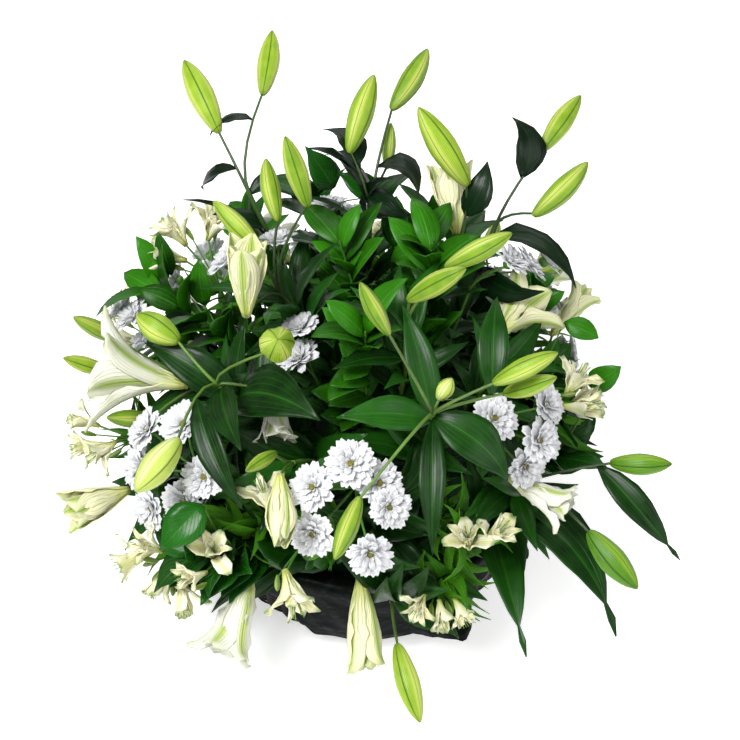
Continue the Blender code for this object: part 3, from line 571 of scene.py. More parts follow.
def joined(name, pieces):
    """One object from several."""
    only(pieces[0])
    for piece in pieces[1:]:
        piece.select_set(True)
    if len(pieces) > 1:
        bpy.ops.object.join()
    whole = bpy.context.object
    whole.name = whole.data.name = name
    return whole


bpy.context.tool_settings.mesh_select_mode = (True, False, False)
print("selecting vertices:", tuple(bpy.context.tool_settings.mesh_select_mode))

# %% [markdown]
# ## Leaves and petals from one flat strip
# A leaf, a tepal and a ray petal are all a strip that is narrow at its foot, wide somewhere and closed at its
# tip. Each could be sculpted, but one function that draws them all out of a grid keeps them alike and light.
# The grid stands along +Z with its upper face towards +Y. Its columns are pushed up to cup or fold the strip,
# the rows are scaled to its outline, everything above a row is leaned out to curl it, and Solidify closes it. A
# strip is one unit long, and copies of it are placed later.


# %% A strip
def blank(columns, rows):
    """A flat grid one unit long; returns it with the numbers of each row and of each column."""
    upright = (math.pi / 2, 0, math.pi)
    strip = started(
        bpy.ops.mesh.primitive_grid_add,
        x_subdivisions=columns, y_subdivisions=rows, size=1, location=(0, 0, 0.5), rotation=upright
    )
    lines = [[] for _ in range(rows + 1)]
    files = [[] for _ in range(columns + 1)]
    for vertex in strip.data.vertices:
        lines[round(vertex.co.z * rows)].append(vertex.index)
        files[round((vertex.co.x + 0.5) * columns)].append(vertex.index)
    return strip, lines, files


def strip_model(
    widths, columns=4, cup=0.0, fold=0.0, curl=(), ripple=0.0, notch=0.0, bend=0, twist=0, thick=0.006
):
    """A leaf or petal with these half widths up its length; angles are in degrees."""
    rows = len(widths) - 1
    strip, lines, files = blank(columns, rows)
    middle = files[columns // 2]
    bpy.ops.object.mode_set(mode="EDIT")
    for number, file in enumerate(files):
        aside = abs(2 * number / columns - 1)
        pick(strip, file)
        bpy.ops.transform.translate(value=(0, cup * aside**2 + fold * aside, 0))
    for number, line in enumerate(lines):
        wide = 2 * widths[number]
        pick(strip, line)
        bpy.ops.transform.resize(value=(wide, wide, 1), center_override=(0, 0, number / rows))
        for edge in (files[0], files[-1]) if ripple else ():
            pick(strip, set(line) & set(edge))
            bpy.ops.transform.translate(value=(0, ripple * wide * dice.uniform(-1, 1), 0))
    if notch:
        pick(strip, set(lines[-1]) & set(middle))
        bpy.ops.transform.translate(value=(0, 0, -notch))
    for number, degrees in enumerate(curl):
        (hinge,) = set(lines[number]) & set(middle)
        centre = pick(strip, [vertex for line in lines[number:] for vertex in line])[hinge].co.copy()
        bpy.ops.transform.rotate(value=-math.radians(degrees), orient_axis="X", center_override=centre)
    bpy.ops.object.mode_set(mode="OBJECT")
    if bend:
        deformed(strip, "BEND", "X", -bend)
    if twist:
        deformed(strip, "TWIST", "Z", twist)
    ends = [strip.data.vertices[(set(line) & set(middle)).pop()].co.copy() for line in (lines[0], lines[-1])]
    applied(strip, "SOLIDIFY", thickness=thick, offset=0)
    bpy.ops.object.shade_smooth()
    return strip, *ends


print("a strip is drawn from", tuple(ORIGIN), "to", tuple(UP))

# %% [markdown]
# ## Models to copy
# What repeats is modelled once. A model is a mesh with the line from its foot to its tip, so that a copy can be
# laid between any two places: its length follows them, and its width may be set on its own. The object itself
# is thrown away, so only the copies are seen. Instances would be lighter, but each copy needs its own tone.

# %% Keeping and placing models
MODELS = {}


def keep_model(name, piece, finish, foot=ORIGIN, tip=UP, half_width=0.5):
    """Stores a piece's mesh as a model and removes the object."""
    if not piece.data.materials:
        piece.data.materials.append(finish)
    if "tone" not in piece.data.attributes:
        set_tone(piece.data, 0.5)
    piece.data.name = name
    MODELS[name] = (piece.data, foot, tip, half_width)
    bpy.data.objects.remove(piece)


def placing(name, base, tip, up, width=None, all_round=False):
    """The matrix that lays a model from base to tip, its upper face towards up, as broad as width."""
    _, foot, end, half = MODELS[name]
    chord = end - foot
    ahead, size = (tip - base).normalized(), (tip - base).length / chord.length
    side = up.cross(ahead)
    if side.length < 1e-4:
        side = Vector((1, 0.01, 0)).cross(ahead)
    side.normalize()
    rise = ahead.cross(side)
    own_ahead = chord.normalized()
    own_side = (Vector((1, 0, 0)) - own_ahead.x * own_ahead).normalized()
    own_rise = own_ahead.cross(own_side)
    broad = size if width is None else width / (2 * half)
    deep = broad if all_round else size
    own = Matrix((own_side, own_rise, own_ahead)).to_4x4()
    turned = Matrix((side * broad, rise * deep, ahead * size)).transposed().to_4x4()
    return Matrix.Translation(base) @ turned @ own @ Matrix.Translation(-foot)


def linked(name, data):
    """A new object of the scene."""
    made = bpy.data.objects.new(name, data)
    scene.collection.objects.link(made)
    return made


def copy_model(name, matrix, tone=None):
    """A placed copy of a model, with its own mesh."""
    mesh = MODELS[name][0].copy()
    mesh.transform(matrix)
    if tone is not None:
        set_tone(mesh, tone)
    return linked(name + "_copy", mesh)


def rod(points, radii, finish, sides=2, tone=0.5, ring=False):
    """A round stalk through points, as thick at each as its radius says: capped, or closed to a ring."""
    line = bpy.data.curves.new("rod", "CURVE")
    line.dimensions = "3D"
    line.bevel_depth = 1.0
    line.bevel_resolution = sides
    line.use_fill_caps = not ring
    spline = line.splines.new("POLY")
    spline.points.add(len(points) - 1)
    for spot, place, radius in zip(spline.points, points, radii):
        spot.co = (*place, 1)
        spot.radius = radius
    spline.use_cyclic_u = ring
    only(linked("rod", line))
    bpy.ops.object.convert(target="MESH")
    if ring:
        bpy.ops.object.shade_smooth()
    else:
        bpy.ops.object.mode_set(mode="EDIT")
        bpy.ops.mesh.select_all(action="SELECT")
        bpy.ops.mesh.remove_doubles(threshold=1e-6)
        bpy.ops.object.mode_set(mode="OBJECT")
        bpy.ops.object.shade_smooth_by_angle(angle=math.radians(50))
    made = bpy.context.object
    made.data.materials.clear()
    made.data.materials.append(finish)
    set_tone(made.data, tone)
    return made


print("models are one unit long and stand along +Z")

# %% [markdown]
# ## Leaf models
# A lily leaf is long, folded along its middle and wavy at the edge, and the biggest ones end in a narrow drip
# tip. Ruscus leaves are short and stiff, salal leaves broad, alstroemeria leaves slim and turned over, and
# chrysanthemum leaves lobed. Each kind gets a few models with other bends and twists, so copies look grown.

# %% Leaf models
LILY_OUTLINE = (0.10, 0.52, 0.86, 1.0, 0.96, 0.80, 0.55, 0.27, 0.02)
BIG_OUTLINE = (0.10, 0.38, 0.64, 0.84, 0.96, 1.0, 0.98, 0.90, 0.76, 0.57, 0.37, 0.18, 0.02)
DRIP_OUTLINE = (0.08, 0.42, 0.72, 0.92, 1.0, 1.0, 0.93, 0.80, 0.61, 0.38, 0.07, 0.17, 0.02)
RUSCUS_OUTLINE = (0.10, 0.60, 0.90, 1.0, 0.97, 0.80, 0.50, 0.02)
SALAL_OUTLINE = (0.12, 0.72, 1.0, 1.02, 0.90, 0.62, 0.25, 0.02)
SLIM_OUTLINE = (0.30, 0.75, 1.0, 0.92, 0.66, 0.30, 0.03)
LOBED_OUTLINE = (0.06, 0.36, 0.30, 0.82, 0.52, 1.0, 0.60, 0.52, 0.05)
LEAF_KINDS = (  # kind, finish, outline, half width, (bend, twist) of each model, columns, fold, ripple
    ("lily", lily_leaf, LILY_OUTLINE, 0.125, ((38, 0), (62, 14), (82, -16), (50, -24), (26, 20)),
     4, 0.16, 0.07),
    ("big", lily_leaf, BIG_OUTLINE, 0.13, ((46, 10), (64, -12), (34, 6)), 6, 0.15, 0.05),
    ("drip", lily_leaf, DRIP_OUTLINE, 0.14, ((46, 14), (66, -24)), 6, 0.16, 0.09),
    ("bract", lily_bract, LILY_OUTLINE, 0.15, ((70, 30), (95, -35), (50, 50)), 4, 0.22, 0.14),
    ("ruscus", ruscus_leaf, RUSCUS_OUTLINE, 0.23, ((26, 0), (44, 12), (14, -12), (36, -20)), 2, 0.14, 0.0),
    ("salal", salal_leaf, SALAL_OUTLINE, 0.31, ((34, 0), (52, 10), (22, -12)), 4, 0.10, 0.03),
    ("slim", slim_leaf, SLIM_OUTLINE, 0.085, ((50, 60), (70, -50), (30, 90), (86, 30)), 2, 0.12, 0.0),
    ("lobed", mum_leaf, LOBED_OUTLINE, 0.30, ((42, 8), (64, -14)), 4, 0.10, 0.06),
)
for kind, finish, outline, half_width, shapes, columns, fold, ripple in LEAF_KINDS:
    for number, (bend, twist) in enumerate(shapes):
        widths = [half_width * share for share in outline]
        shape = dict(columns=columns, fold=fold, ripple=ripple, bend=bend, twist=twist)
        leaf, foot, tip = strip_model(widths, **shape)
        keep_model(f"{kind}_{number}", leaf, finish, foot, tip, half_width)
print("leaf models:", len(MODELS), "with", sum(len(m.polygons) for m, *_ in MODELS.values()), "faces")

# %% [markdown]
# ## Lily buds
# A bud is a sphere drawn out to the bud's outline ring by ring. Three seams are pressed in and three ribs are
# raised between them, because the outer tepals of a lily close edge to edge. A smooth spindle with painted
# seams would be simpler, but its edge against the light would be too even.


# %% Bud models
def read_off(outline, share):
    """The half width at a share of the length, read off an outline."""
    for (s, a), (t, b) in zip(outline, outline[1:]):
        if share <= t:
            return a + (b - a) * (share - s) / (t - s)
    return outline[-1][1]


def bud_model(name, outline, finish, groove, bend):
    """A closed bud one unit long."""
    sphere = bpy.ops.mesh.primitive_uv_sphere_add
    bud = started(sphere, segments=18, ring_count=14, radius=0.5, location=(0, 0, 0.5))
    rings, seams, ribs = {}, [], []
    for vertex in bud.data.vertices:
        x, y, z = vertex.co
        if math.hypot(x, y) < 1e-4:
            continue
        rings.setdefault(round(z, 3), []).append(vertex.index)
        lobe = (math.degrees(math.atan2(y, x)) - 170) / 120 % 1
        if min(lobe, 1 - lobe) < 0.04:
            seams.append(vertex.index)
        elif abs(lobe - 0.5) < 0.04:
            ribs.append(vertex.index)
    bpy.ops.object.mode_set(mode="EDIT")
    for height, ring in rings.items():
        resize_ring(bud, ring, read_off(outline, height) / math.sqrt(0.25 - (height - 0.5) ** 2), height)
    resize_ring(bud, seams, 1 - groove, 0.5)
    resize_ring(bud, ribs, 1 + 0.4 * groove, 0.5)
    bpy.ops.object.mode_set(mode="OBJECT")
    deformed(bud, "BEND", "X", -bend)
    bpy.ops.object.shade_smooth()
    top = max(bud.data.vertices, key=lambda vertex: vertex.co.z).co.copy()
    keep_model(name, bud, finish, ORIGIN, top, 0.13)


BUD_OUTLINE = (
    (0, 0.03), (0.05, 0.062), (0.15, 0.100), (0.35, 0.140), (0.5, 0.150), (0.65, 0.140),
    (0.8, 0.106), (0.9, 0.070), (0.97, 0.032), (1, 0.01),
)
SLIM_BUD_OUTLINE = ((0, 0.06), (0.1, 0.10), (0.4, 0.16), (0.7, 0.17), (0.9, 0.10), (1, 0.02))
STOUT_OUTLINE = [(share, 1.42 * half) for share, half in BUD_OUTLINE]
for name, outline, finish, groove, bend in (
    ("bud_0", BUD_OUTLINE, lily_bud, 0.10, 6), ("bud_1", BUD_OUTLINE, lily_bud, 0.13, 14),
    ("bud_2", BUD_OUTLINE, lily_bud, 0.08, 2), ("fresh_0", BUD_OUTLINE, fresh_bud, 0.11, 5),
    ("fresh_1", BUD_OUTLINE, fresh_bud, 0.11, 12), ("stout_0", STOUT_OUTLINE, lily_bud, 0.12, 8),
    ("plump_0", STOUT_OUTLINE, pale_bud, 0.12, 4), ("slim_bud_0", SLIM_BUD_OUTLINE, slim_bud, 0.12, 8),
):
    bud_model(name, outline, finish, groove, bend)
print("bud models:", [name for name in MODELS if "bud" in name])

# %% [markdown]
# ## Lily flowers
# Six tepals stand round a flower's axis: three outer ones, and three broader ones just inside them. Only the
# lean of each part of a tepal changes between a flower that is nearly closed, a trumpet and an open lily, so
# one function makes them all. A pistil and six filaments stand in the throat; florists pick off the anthers.

# %% Lily flower models
OUTER_TEPAL = (0.035, 0.062, 0.088, 0.110, 0.128, 0.142, 0.150, 0.146, 0.124, 0.084, 0.016)
INNER_TEPAL = (0.035, 0.058, 0.082, 0.106, 0.130, 0.156, 0.180, 0.190, 0.172, 0.116, 0.022)
BLUNT_OUTER = (0.035, 0.062, 0.088, 0.110, 0.128, 0.140, 0.146, 0.144, 0.134, 0.112, 0.062)
BLUNT_INNER = (0.035, 0.058, 0.082, 0.106, 0.126, 0.146, 0.160, 0.166, 0.158, 0.132, 0.074)
TUBE_RADIUS = 0.030


def petal_model(name, finish, widths, leans, lag, **shape):
    """A petal whose rows lean out by these degrees, less the lag."""
    rows = [lean + lag for lean in leans]
    curl = [lean - before for before, lean in zip((0, *rows), rows)]
    petal, foot, tip = strip_model(widths, curl=curl, **shape)
    keep_model(name, petal, finish, foot, tip, max(widths))


def round_the_axis(model, count, radius, first, jitter, scale=1.0):
    """Copies of a petal model set round +Z, each a little different."""
    petals = []
    for number in range(count):
        turn = math.radians(first + 360 * number / count + jitter * dice.uniform(-1, 1))
        tilt = math.radians(jitter * dice.uniform(-1, 1))
        size = scale * dice.uniform(0.95, 1.04)
        out = Matrix.Translation((0, -radius, 0)) @ Matrix.Rotation(tilt, 4, "X") @ Matrix.Scale(size, 4)
        petals.append(copy_model(model, Matrix.Rotation(turn, 4, "Z") @ out, dice.random()))
    return petals


def direction(turn, rise):
    """The unit vector at a turn about +Z and a rise above the ground, in degrees."""
    a, b = math.radians(turn), math.radians(rise)
    return Vector((math.cos(b) * math.cos(a), math.cos(b) * math.sin(a), math.sin(b)))


def lily_heart(height, spread):
    """A pistil and six filaments."""
    top = Vector((0, 0.03, height))
    knob = [top, top + Vector((0, 0.002, 0.02)), top + Vector((0, 0.004, 0.035))]
    parts = [
        rod([(0, 0, 0.02), (0, 0, 0.5 * height), top], (0.022, 0.011, 0.010), heart),
        rod(knob, (0.012, 0.030, 0.014), heart),
    ]
    for number in range(6):
        out = direction(60 * number + 30, 0)
        line = [0.02 * out + 0.05 * UP, 0.05 * out + 0.5 * height * UP, spread * out + 0.9 * height * UP]
        parts.append(rod(line, (0.009, 0.007, 0.004), heart, sides=1))
    return parts


def lily_model(name, finish, leans, ruffle, heart_height=0.0, spread=0.1, narrow=1.0, blunt=False):
    """A lily flower whose tepals lean out by these degrees up their length."""
    outer, inner = (BLUNT_OUTER, BLUNT_INNER) if blunt else (OUTER_TEPAL, INNER_TEPAL)
    shape = dict(columns=6, cup=0.30, ripple=ruffle, thick=0.008, notch=0.03 if blunt else 0.0)
    for kind, outline, lag in (("outer", outer, 0), ("inner", inner, -2)):
        petal_model(f"{name}_{kind}", finish, [narrow * wide for wide in outline], leans, lag, **shape)
    parts = round_the_axis(f"{name}_outer", 3, TUBE_RADIUS, 0, 3)
    parts += round_the_axis(f"{name}_inner", 3, 0.8 * TUBE_RADIUS, 60, 3, 0.98)
    if heart_height:
        parts += lily_heart(heart_height, spread)
    flower = joined(name, parts)
    top = max(vertex.co.z for vertex in flower.data.vertices)
    keep_model(name, flower, finish, ORIGIN, top * UP)


LILY_FORMS = {
    "closed": (cream_and_shade_tepal, (13, 13, 12, 10, 7, 3, 0, -7, -15, -8), 0.05),
    "parting": (cream_and_shade_tepal, (13, 13, 13, 12, 11, 10, 9, 10, 11, 12), 0.06, 0, 0.1, 1.05),
    "tube": (cream_and_shade_tepal, (13, 13, 12, 9, 6, 4, 3, 4, 8, 24), 0.07, 0.7, 0.07, 1.0, True),
    "flared": (white_tepal, (13, 13, 12, 10, 9, 10, 13, 20, 32, 55), 0.20, 0.8, 0.1, 1.0, True),
    "trumpet": (white_tepal, (12, 12, 11, 10, 9, 10, 13, 19, 32, 56), 0.16, 0.8, 0.10),
    "cream": (cream_and_shade_tepal, (12, 12, 11, 10, 9, 10, 13, 19, 32, 50), 0.20, 0.8, 0.10, 1.0, True),
    "wide": (ribbed_tepal, (13, 15, 19, 25, 31, 37, 43, 48, 54, 62), 0.12, 0.7, 0.16, 0.94),
    "open": (white_tepal, (12, 13, 14, 16, 20, 26, 35, 48, 64, 84), 0.13, 0.75, 0.22),
    # The shaded lily is the open form in the cream finish: painted shade on the backs of its tepals.
    "shaded": (cream_and_shade_tepal, (12, 13, 14, 16, 20, 26, 33, 42, 52, 66), 0.20, 0.75, 0.2),
}
for name, form in LILY_FORMS.items():
    lily_model(name, *form)
print("lily models:", list(LILY_FORMS), "-", len(MODELS["open"][0].polygons), "faces in an open one")

# %% [markdown]
# ## Chrysanthemum heads
# A double head is four rings of rounded, notched petals: the outer ring lies almost flat and each ring inside
# it is shorter and stands more upright, round a small bumpy centre. Three heads with other random turns are
# enough for all of them.

# %% Chrysanthemum models
PETAL_RINGS = ((13, 0.95, 5, -0.04), (11, 0.79, 17, 0.0), (7, 0.56, 33, 0.04), (5, 0.32, 50, 0.07))


def mum_model(name):
    """A double head whose longest petals reach about one unit from its axis."""
    parts = []
    for count, length, rise, height in PETAL_RINGS:
        for number in range(count):
            turn = 2 * math.pi * (number + dice.uniform(-0.18, 0.18)) / count + rise
            lift = math.radians(90 - rise - dice.uniform(-7, 8))
            size = length * dice.uniform(0.92, 1.06)
            stand = Matrix.Translation((0, -0.08, height)) @ Matrix.Rotation(lift, 4, "X")
            rolled = Matrix.Rotation(math.radians(dice.uniform(-14, 14)), 4, "Z") @ Matrix.Scale(size, 4)
            petal = f"mum_petal_{number % 2}"
            parts.append(copy_model(petal, Matrix.Rotation(turn, 4, "Z") @ stand @ rolled, dice.random()))
    for finish, radius, height, flat in ((mum_centre, 0.15, 0.10, 0.6), (green_stalk, 0.26, -0.16, 0.9)):
        sphere = bpy.ops.mesh.primitive_uv_sphere_add
        knob = started(sphere, segments=12, ring_count=6, radius=radius, location=(0, 0, height))
        bpy.ops.object.mode_set(mode="EDIT")
        bpy.ops.mesh.select_all(action="SELECT")
        bpy.ops.transform.resize(value=(1, 1, flat), center_override=(0, 0, height))
        bpy.ops.transform.vertex_random(offset=0.012, seed=len(parts))
        bpy.ops.object.mode_set(mode="OBJECT")
        bpy.ops.object.shade_smooth()
        knob.data.materials.append(finish)
        set_tone(knob.data, 0.5)
        parts.append(knob)
    keep_model(name, joined(name, parts), mum_petal, half_width=1.0)


for number, (cup, curl) in enumerate(((0.16, 14), (0.08, 26))):
    shape = dict(columns=4, cup=cup, curl=(0, -curl, 0, curl), notch=0.055, ripple=0.04, thick=0.02)
    petal, foot, tip = strip_model((0.05, 0.16, 0.240, 0.245, 0.13), **shape)
    keep_model(f"mum_petal_{number}", petal, mum_petal, foot, tip, 0.245)
for number in range(3):
    mum_model(f"mum_{number}")
print("chrysanthemum models: 3 heads of", len(MODELS["mum_0"][0].polygons), "faces")

# %% [markdown]
# ## Alstroemeria florets
# A floret is a funnel of three broad outer petals and three slim, flecked inner ones, all tipped with green,
# with a few curved stamens. It is made in the same way as a lily, so it shares the lily's steps.


# %% Alstroemeria models
def floret_model(name, leans):
    """An alstroemeria floret, one unit from its foot to its mouth."""
    shape = dict(cup=0.25, ripple=0.26, notch=0.02, thick=0.015)
    petal_model(f"{name}_outer", outer_petal, (0.05, 0.08, 0.13, 0.18, 0.21, 0.19, 0.07), leans, 0, **shape)
    petal_model(f"{name}_inner", inner_petal, (0.04, 0.05, 0.07, 0.10, 0.12, 0.09, 0.02), leans, -12, **shape)
    parts = round_the_axis(f"{name}_outer", 3, 0.05, 0, 12) + round_the_axis(f"{name}_inner", 3, 0.04, 60, 12)
    for number in range(4):
        out = direction(90 * number + 20, 0)
        line = [0.1 * UP, 0.05 * out + 0.6 * UP, 0.12 * out + Vector((0, 0.05, 0.95))]
        parts.append(rod(line, (0.014, 0.012, 0.012), slim_bud, sides=1))
    keep_model(name, joined(name, parts), outer_petal)


floret_model("floret_0", (11, 19, 30, 42, 52, 62))
floret_model("floret_1", (8, 14, 22, 31, 40, 48))
print("alstroemeria models:", len(MODELS["floret_0"][0].polygons), "faces in a floret")

# %% [markdown]
# ## The planting plan
# These are the solid model's own places, in centimetres, so that every finished stem grows where its plain
# shape stands. They could be read off the solids' meshes, but a written plan can be seen and changed. A foot is
# a turn about +Z and a rise, in degrees: the direction in which the stem leaves the focal point low in the
# basket, and a neck is where its line ends. A flower has its form, base and tip, and sometimes its width as a
# share of its length. A big leaf starts at a share of its stem, or at (flower, share) of that flower's stalk,
# and has its tip and its width.


# %% Planting plan: lilies
def numbered(kind, stems):
    """The stems of a kind by their full names."""
    return {f"{kind}_{number:02}": stem for number, stem in stems.items()}


LILIES = numbered("lily_stem", {  # foot, neck, flowers, big leaves
    1: ((125, 61), (-14, 14.5, 43.5),
        [("bud", (-17.5, 19.5, 48.5), (-22, 27.5, 53.5)), ("bud", (-12.5, 24.5, 50.5), (-11.5, 32.5, 54.5))],
        [((1, 0.7), (-18.7, 19, 48.3), 2.6), ((0, 0.4), (-19.7, 17, 41.9), 3.2), (0.99, (-11.7, 18, 45.1), 2.2),
         (0.7, (-22, 15, 42), 1.9), (0.84, (-18.5, 14, 40.5), 3.0)]),
    2: ((210, 86), (-9.5, 2, 38),
        [("bud", (-6.5, 5.5, 48.5), (-9, 9.5, 55.5)), ("bud", (-10, 6, 46), (-11.5, 12, 50.5)),
         ("bud", (-12, 3.5, 44), (-17.5, 8, 47.5)), ("parting", (-13.5, -3, 39.5), (-13, 0, 48.5), 1.2)],
        []),
    3: ((90, 75), (0.5, 12, 42),
        [("bud", (-2, 15.5, 48.5), (1, 23, 54.5)), ("bud", (3, 21.5, 50.5), (7.5, 28.5, 54.5)),
         ("bud", (2.5, 17, 45), (3, 21, 49))],
        [((0, 0.75), (-5.2, 19, 49.4), 4.2), ((1, 0.45), (6.2, 13, 43.9), 4.8),
         ((0, 0.65), (-5.1, 16, 47.9), 3.4), ((0, 0.1), (-7, 15, 49.7), 4.4), (0.97, (3.2, 13, 46.9), 3.6),
         ((1, 0.25), (5.4, 10.5, 43.4), 4.6)]),
    4: ((45, 75), (11, 10, 39),
        [("bud", (12, 12, 46.5), (6, 15, 55.5)), ("parting", (10.8, 11.2, 39.8), (9.8, 17, 46.4), 1.4)],
        [((0, 0.5), (14.3, 14.4, 48.2), 3.8)]),
    5: ((35, 60), (15.5, 11.5, 41),
        [("bud", (21, 18, 47), (26, 24.5, 50.5)), ("bud", (19.5, 9.5, 44), (26, 14, 48.5))],
        [((0, 0.6), (17.4, 20, 50.5), 4.2), (0.92, (24.7, 4, 37.6), 4.0), (0.8, (20.9, 3, 38), 3.4)]),
    6: ((315, 75), (4.5, -7, 42),
        [("bud", (8.5, -6.5, 50), (15.5, -5.5, 54)), ("bud", (4.5, -9, 47.5), (10.5, -10, 53))],
        []),
    7: ((305, 61), (7, -20.5, 42),
        [("bud", (2.5, -17, 50), (-0.5, -15, 55.5)), ("bud", (-0.5, -30, 40), (-3, -36.5, 38)),
         ("bud", (13, -20.5, 46.5), (19.5, -19.5, 50)), ("bud", (14.5, -18.5, 43), (19.5, -20.5, 47.5)),
         ("plump", (7.6, -19.6, 43.2), (9, -18.6, 45.4), 0.4)],
        [(0.9, (-3, -21, 42), 3.8), (0.98, (15, -24.5, 36), 4.8), (0.86, (4, -8, 46), 3.4),
         (0.94, (7, -31.5, 32.5), 2.8), ((3, 0.8), (14, -9.5, 48.5), 3.2)]),
    8: ((215, 61), (-16.5, -9.5, 35),
        [("stout", (-21, -5.5, 38), (-26, -2.5, 39.5), 0.34), ("stout", (-10, -10.5, 41.5), (-9, -16, 48.5)),
         ("plump", (-20, -19, 36.5), (-24, -26, 36)), ("trumpet", (-10.5, -9, 34.2), (-9.8, -14.8, 31.6), 1.3)],
        [(0.84, (-25.3, -3.8, 36.2), 4.6), (0.86, (-4.8, -18.4, 38.8), 6.6), (0.98, (-13, -22.5, 38.5), 3.8),
         ((2, 0.45), (-13.2, -24, 30.7), 3.2)]),
    9: ((185, 58), (-18.5, -4, 29),
        [("wide", (-20.5, -6, 31.5), (-31.5, -5.5, 34.5)), ("bud", (-30, 5, 28), (-35, 4, 33)),
         ("bud", (-30.5, -0.5, 28), (-35.5, -2, 32)), ("bud", (-24.5, -9, 29), (-29, -12.5, 33))],
        []),
    10: ((200, 30), (-23, -9.5, 18), [("parting", (-28, -12, 20), (-34.5, -17, 21.5), 1.35)], []),
    11: ((245, 61), (-8, -18, 31.5),
        [("closed", (-9, -24, 36.5), (-8.5, -32.5, 35), 1.15),
         ("bud", (-9.5, -20.5, 36), (-12.5, -24.5, 37.5))],
        []),
    12: ((260, 32), (-10, -19, 15.5), [("flared", (-13.2, -23, 17.4), (-16.3, -31, 12.6), 1.35)], []),
    13: ((278, 47), (0, -20.5, 20.5), [("tube", (-0.6, -24.5, 19.4), (0.1, -33.8, 14), 1.15)], []),
    14: ((279, 30), (3, -25, 15.5), [("bud", (3.5, -31, 16), (6, -39, 12.5))], []),
    15: ((322, 36), (18, -15.5, 25),
        [("flared", (15.9, -18, 29), (22.8, -21.5, 27.7), 1.15),
         ("fresh", (27, -17.5, 31), (33.5, -19, 32.5), 0.31),
         ("fresh", (24.5, -23.5, 26.5), (29.5, -29.5, 24), 0.33)],
        [((1, 0.85), (34.5, -26, 24.5), 3.2), (0.62, (27.8, -30.8, 17), 6.6), (0.4, (18, -31.5, 14), 4.6)]),
    16: ((335, 61), (15, -3.5, 30.5), [("shaded", (15.6, 0, 33.8), (19.2, 7, 33.2), 1.45)], []),
    17: ((104, 46), (-8, 22, 21),
        [("open", (-10, 24, 24), (-14, 31.5, 22)), ("bud", (-6, 26, 23), (-5, 33, 22))],
        []),
    18: ((50, 40), (16, 21, 19),
        [("trumpet", (20, 24, 19), (26, 31, 17)), ("bud", (16, 26, 23), (18, 33, 24)),
         ("bud", (21, 22, 22), (27, 27, 21))],
        []),
    19: ((140, 30), (-22, 17, 17),
        [("trumpet", (-22, 23, 15), (-27, 30, 12)), ("bud", (-23, 20, 13), (-30, 24, 11.5))],
        []),
    20: ((2, 31), (22, 6, 20),
        [("cream", (23, 8, 26), (28, 13, 29.5)), ("bud", (23.5, 4, 15), (28, 8, 12))],
        []),
    21: ((80, 32), (4, 27, 17),
        [("trumpet", (5, 30, 18), (7, 38, 15)), ("bud", (2, 31, 18), (0.5, 38.5, 16))],
        []),
})
print("lilies:", len(LILIES), "stems,", sum(len(stem[2]) for stem in LILIES.values()), "buds and flowers")

# %% [markdown]
# ## The plan of the sprays and the foliage
# A spray has its foot, its neck and its heads: a chrysanthemum's head is one place, and a floret runs from its
# base to its mouth. A foliage stem may have leaves listed one by one where they stand out against the light:
# the share of the stem where each one's twig forks, its base, its tip and its width. The rest follow a rule.

# %% Planting plan: sprays and foliage
CHRYSANTHEMUMS = numbered("chrysanthemum_spray", {  # foot, neck, heads
    1: ((272, 62), (-1, -19, 29),
        [(-1.5, -23, 37), (-5.5, -24.5, 35), (2.5, -26, 33.5), (-5.5, -27.5, 31), (0.5, -29, 29.5),
         (1.5, -23.5, 34.5)]),
    2: ((212, 44), (-18, -13, 24),
        [(-20, -15, 34.5), (-24.5, -13, 31.5), (-25.5, -15, 27.5), (-17.5, -20.5, 32), (-20, -21, 28.5),
         (-24, -19, 25)]),
    3: ((325, 47), (13, -11, 29), [(14, -16, 36.5), (20, -12.5, 35), (19, -16.5, 33.5), (17.5, -18.5, 31.5)]),
    4: ((172, 47), (-22, 4, 25), [(-30, 9, 29.5), (-28, 5, 32), (-27, 5, 28)]),
    5: ((22, 66), (12.5, 6, 36), [(19.5, 8.5, 37), (17, 6.5, 39.5), (22, 11.5, 35.5)]),
    6: ((150, 72), (-10, 7, 34), [(-10.5, 9.5, 40), (-16.6, 8, 38.2)]),
    7: ((115, 76), (-4, 10, 35), [(-4.5, 13.5, 42), (-1, 18.5, 36.5)]),
    8: ((225, 76), (-6, -4, 31), [(-7.5, -1.8, 36.5), (-7.7, -3.6, 33.4)]),
    9: ((98, 29), (-8, 26, 20), [(-8, 33, 19), (-13, 31, 14.5), (-3, 34, 18), (-8, 34, 13.5)]),
    10: ((60, 28), (13, 25, 18), [(14, 32, 19), (9.5, 33, 17), (18, 29, 16), (13, 31, 13.5)]),
    11: ((122, 32), (-19, 21, 24), [(-21, 26, 24), (-25, 21, 24), (-20.5, 28, 19), (-25, 23, 19)]),
    12: ((21, 38), (21, 12, 22), [(26, 10.5, 20.5), (26, 15.5, 22), (22.5, 17, 25.5), (23, 19, 20)]),
})
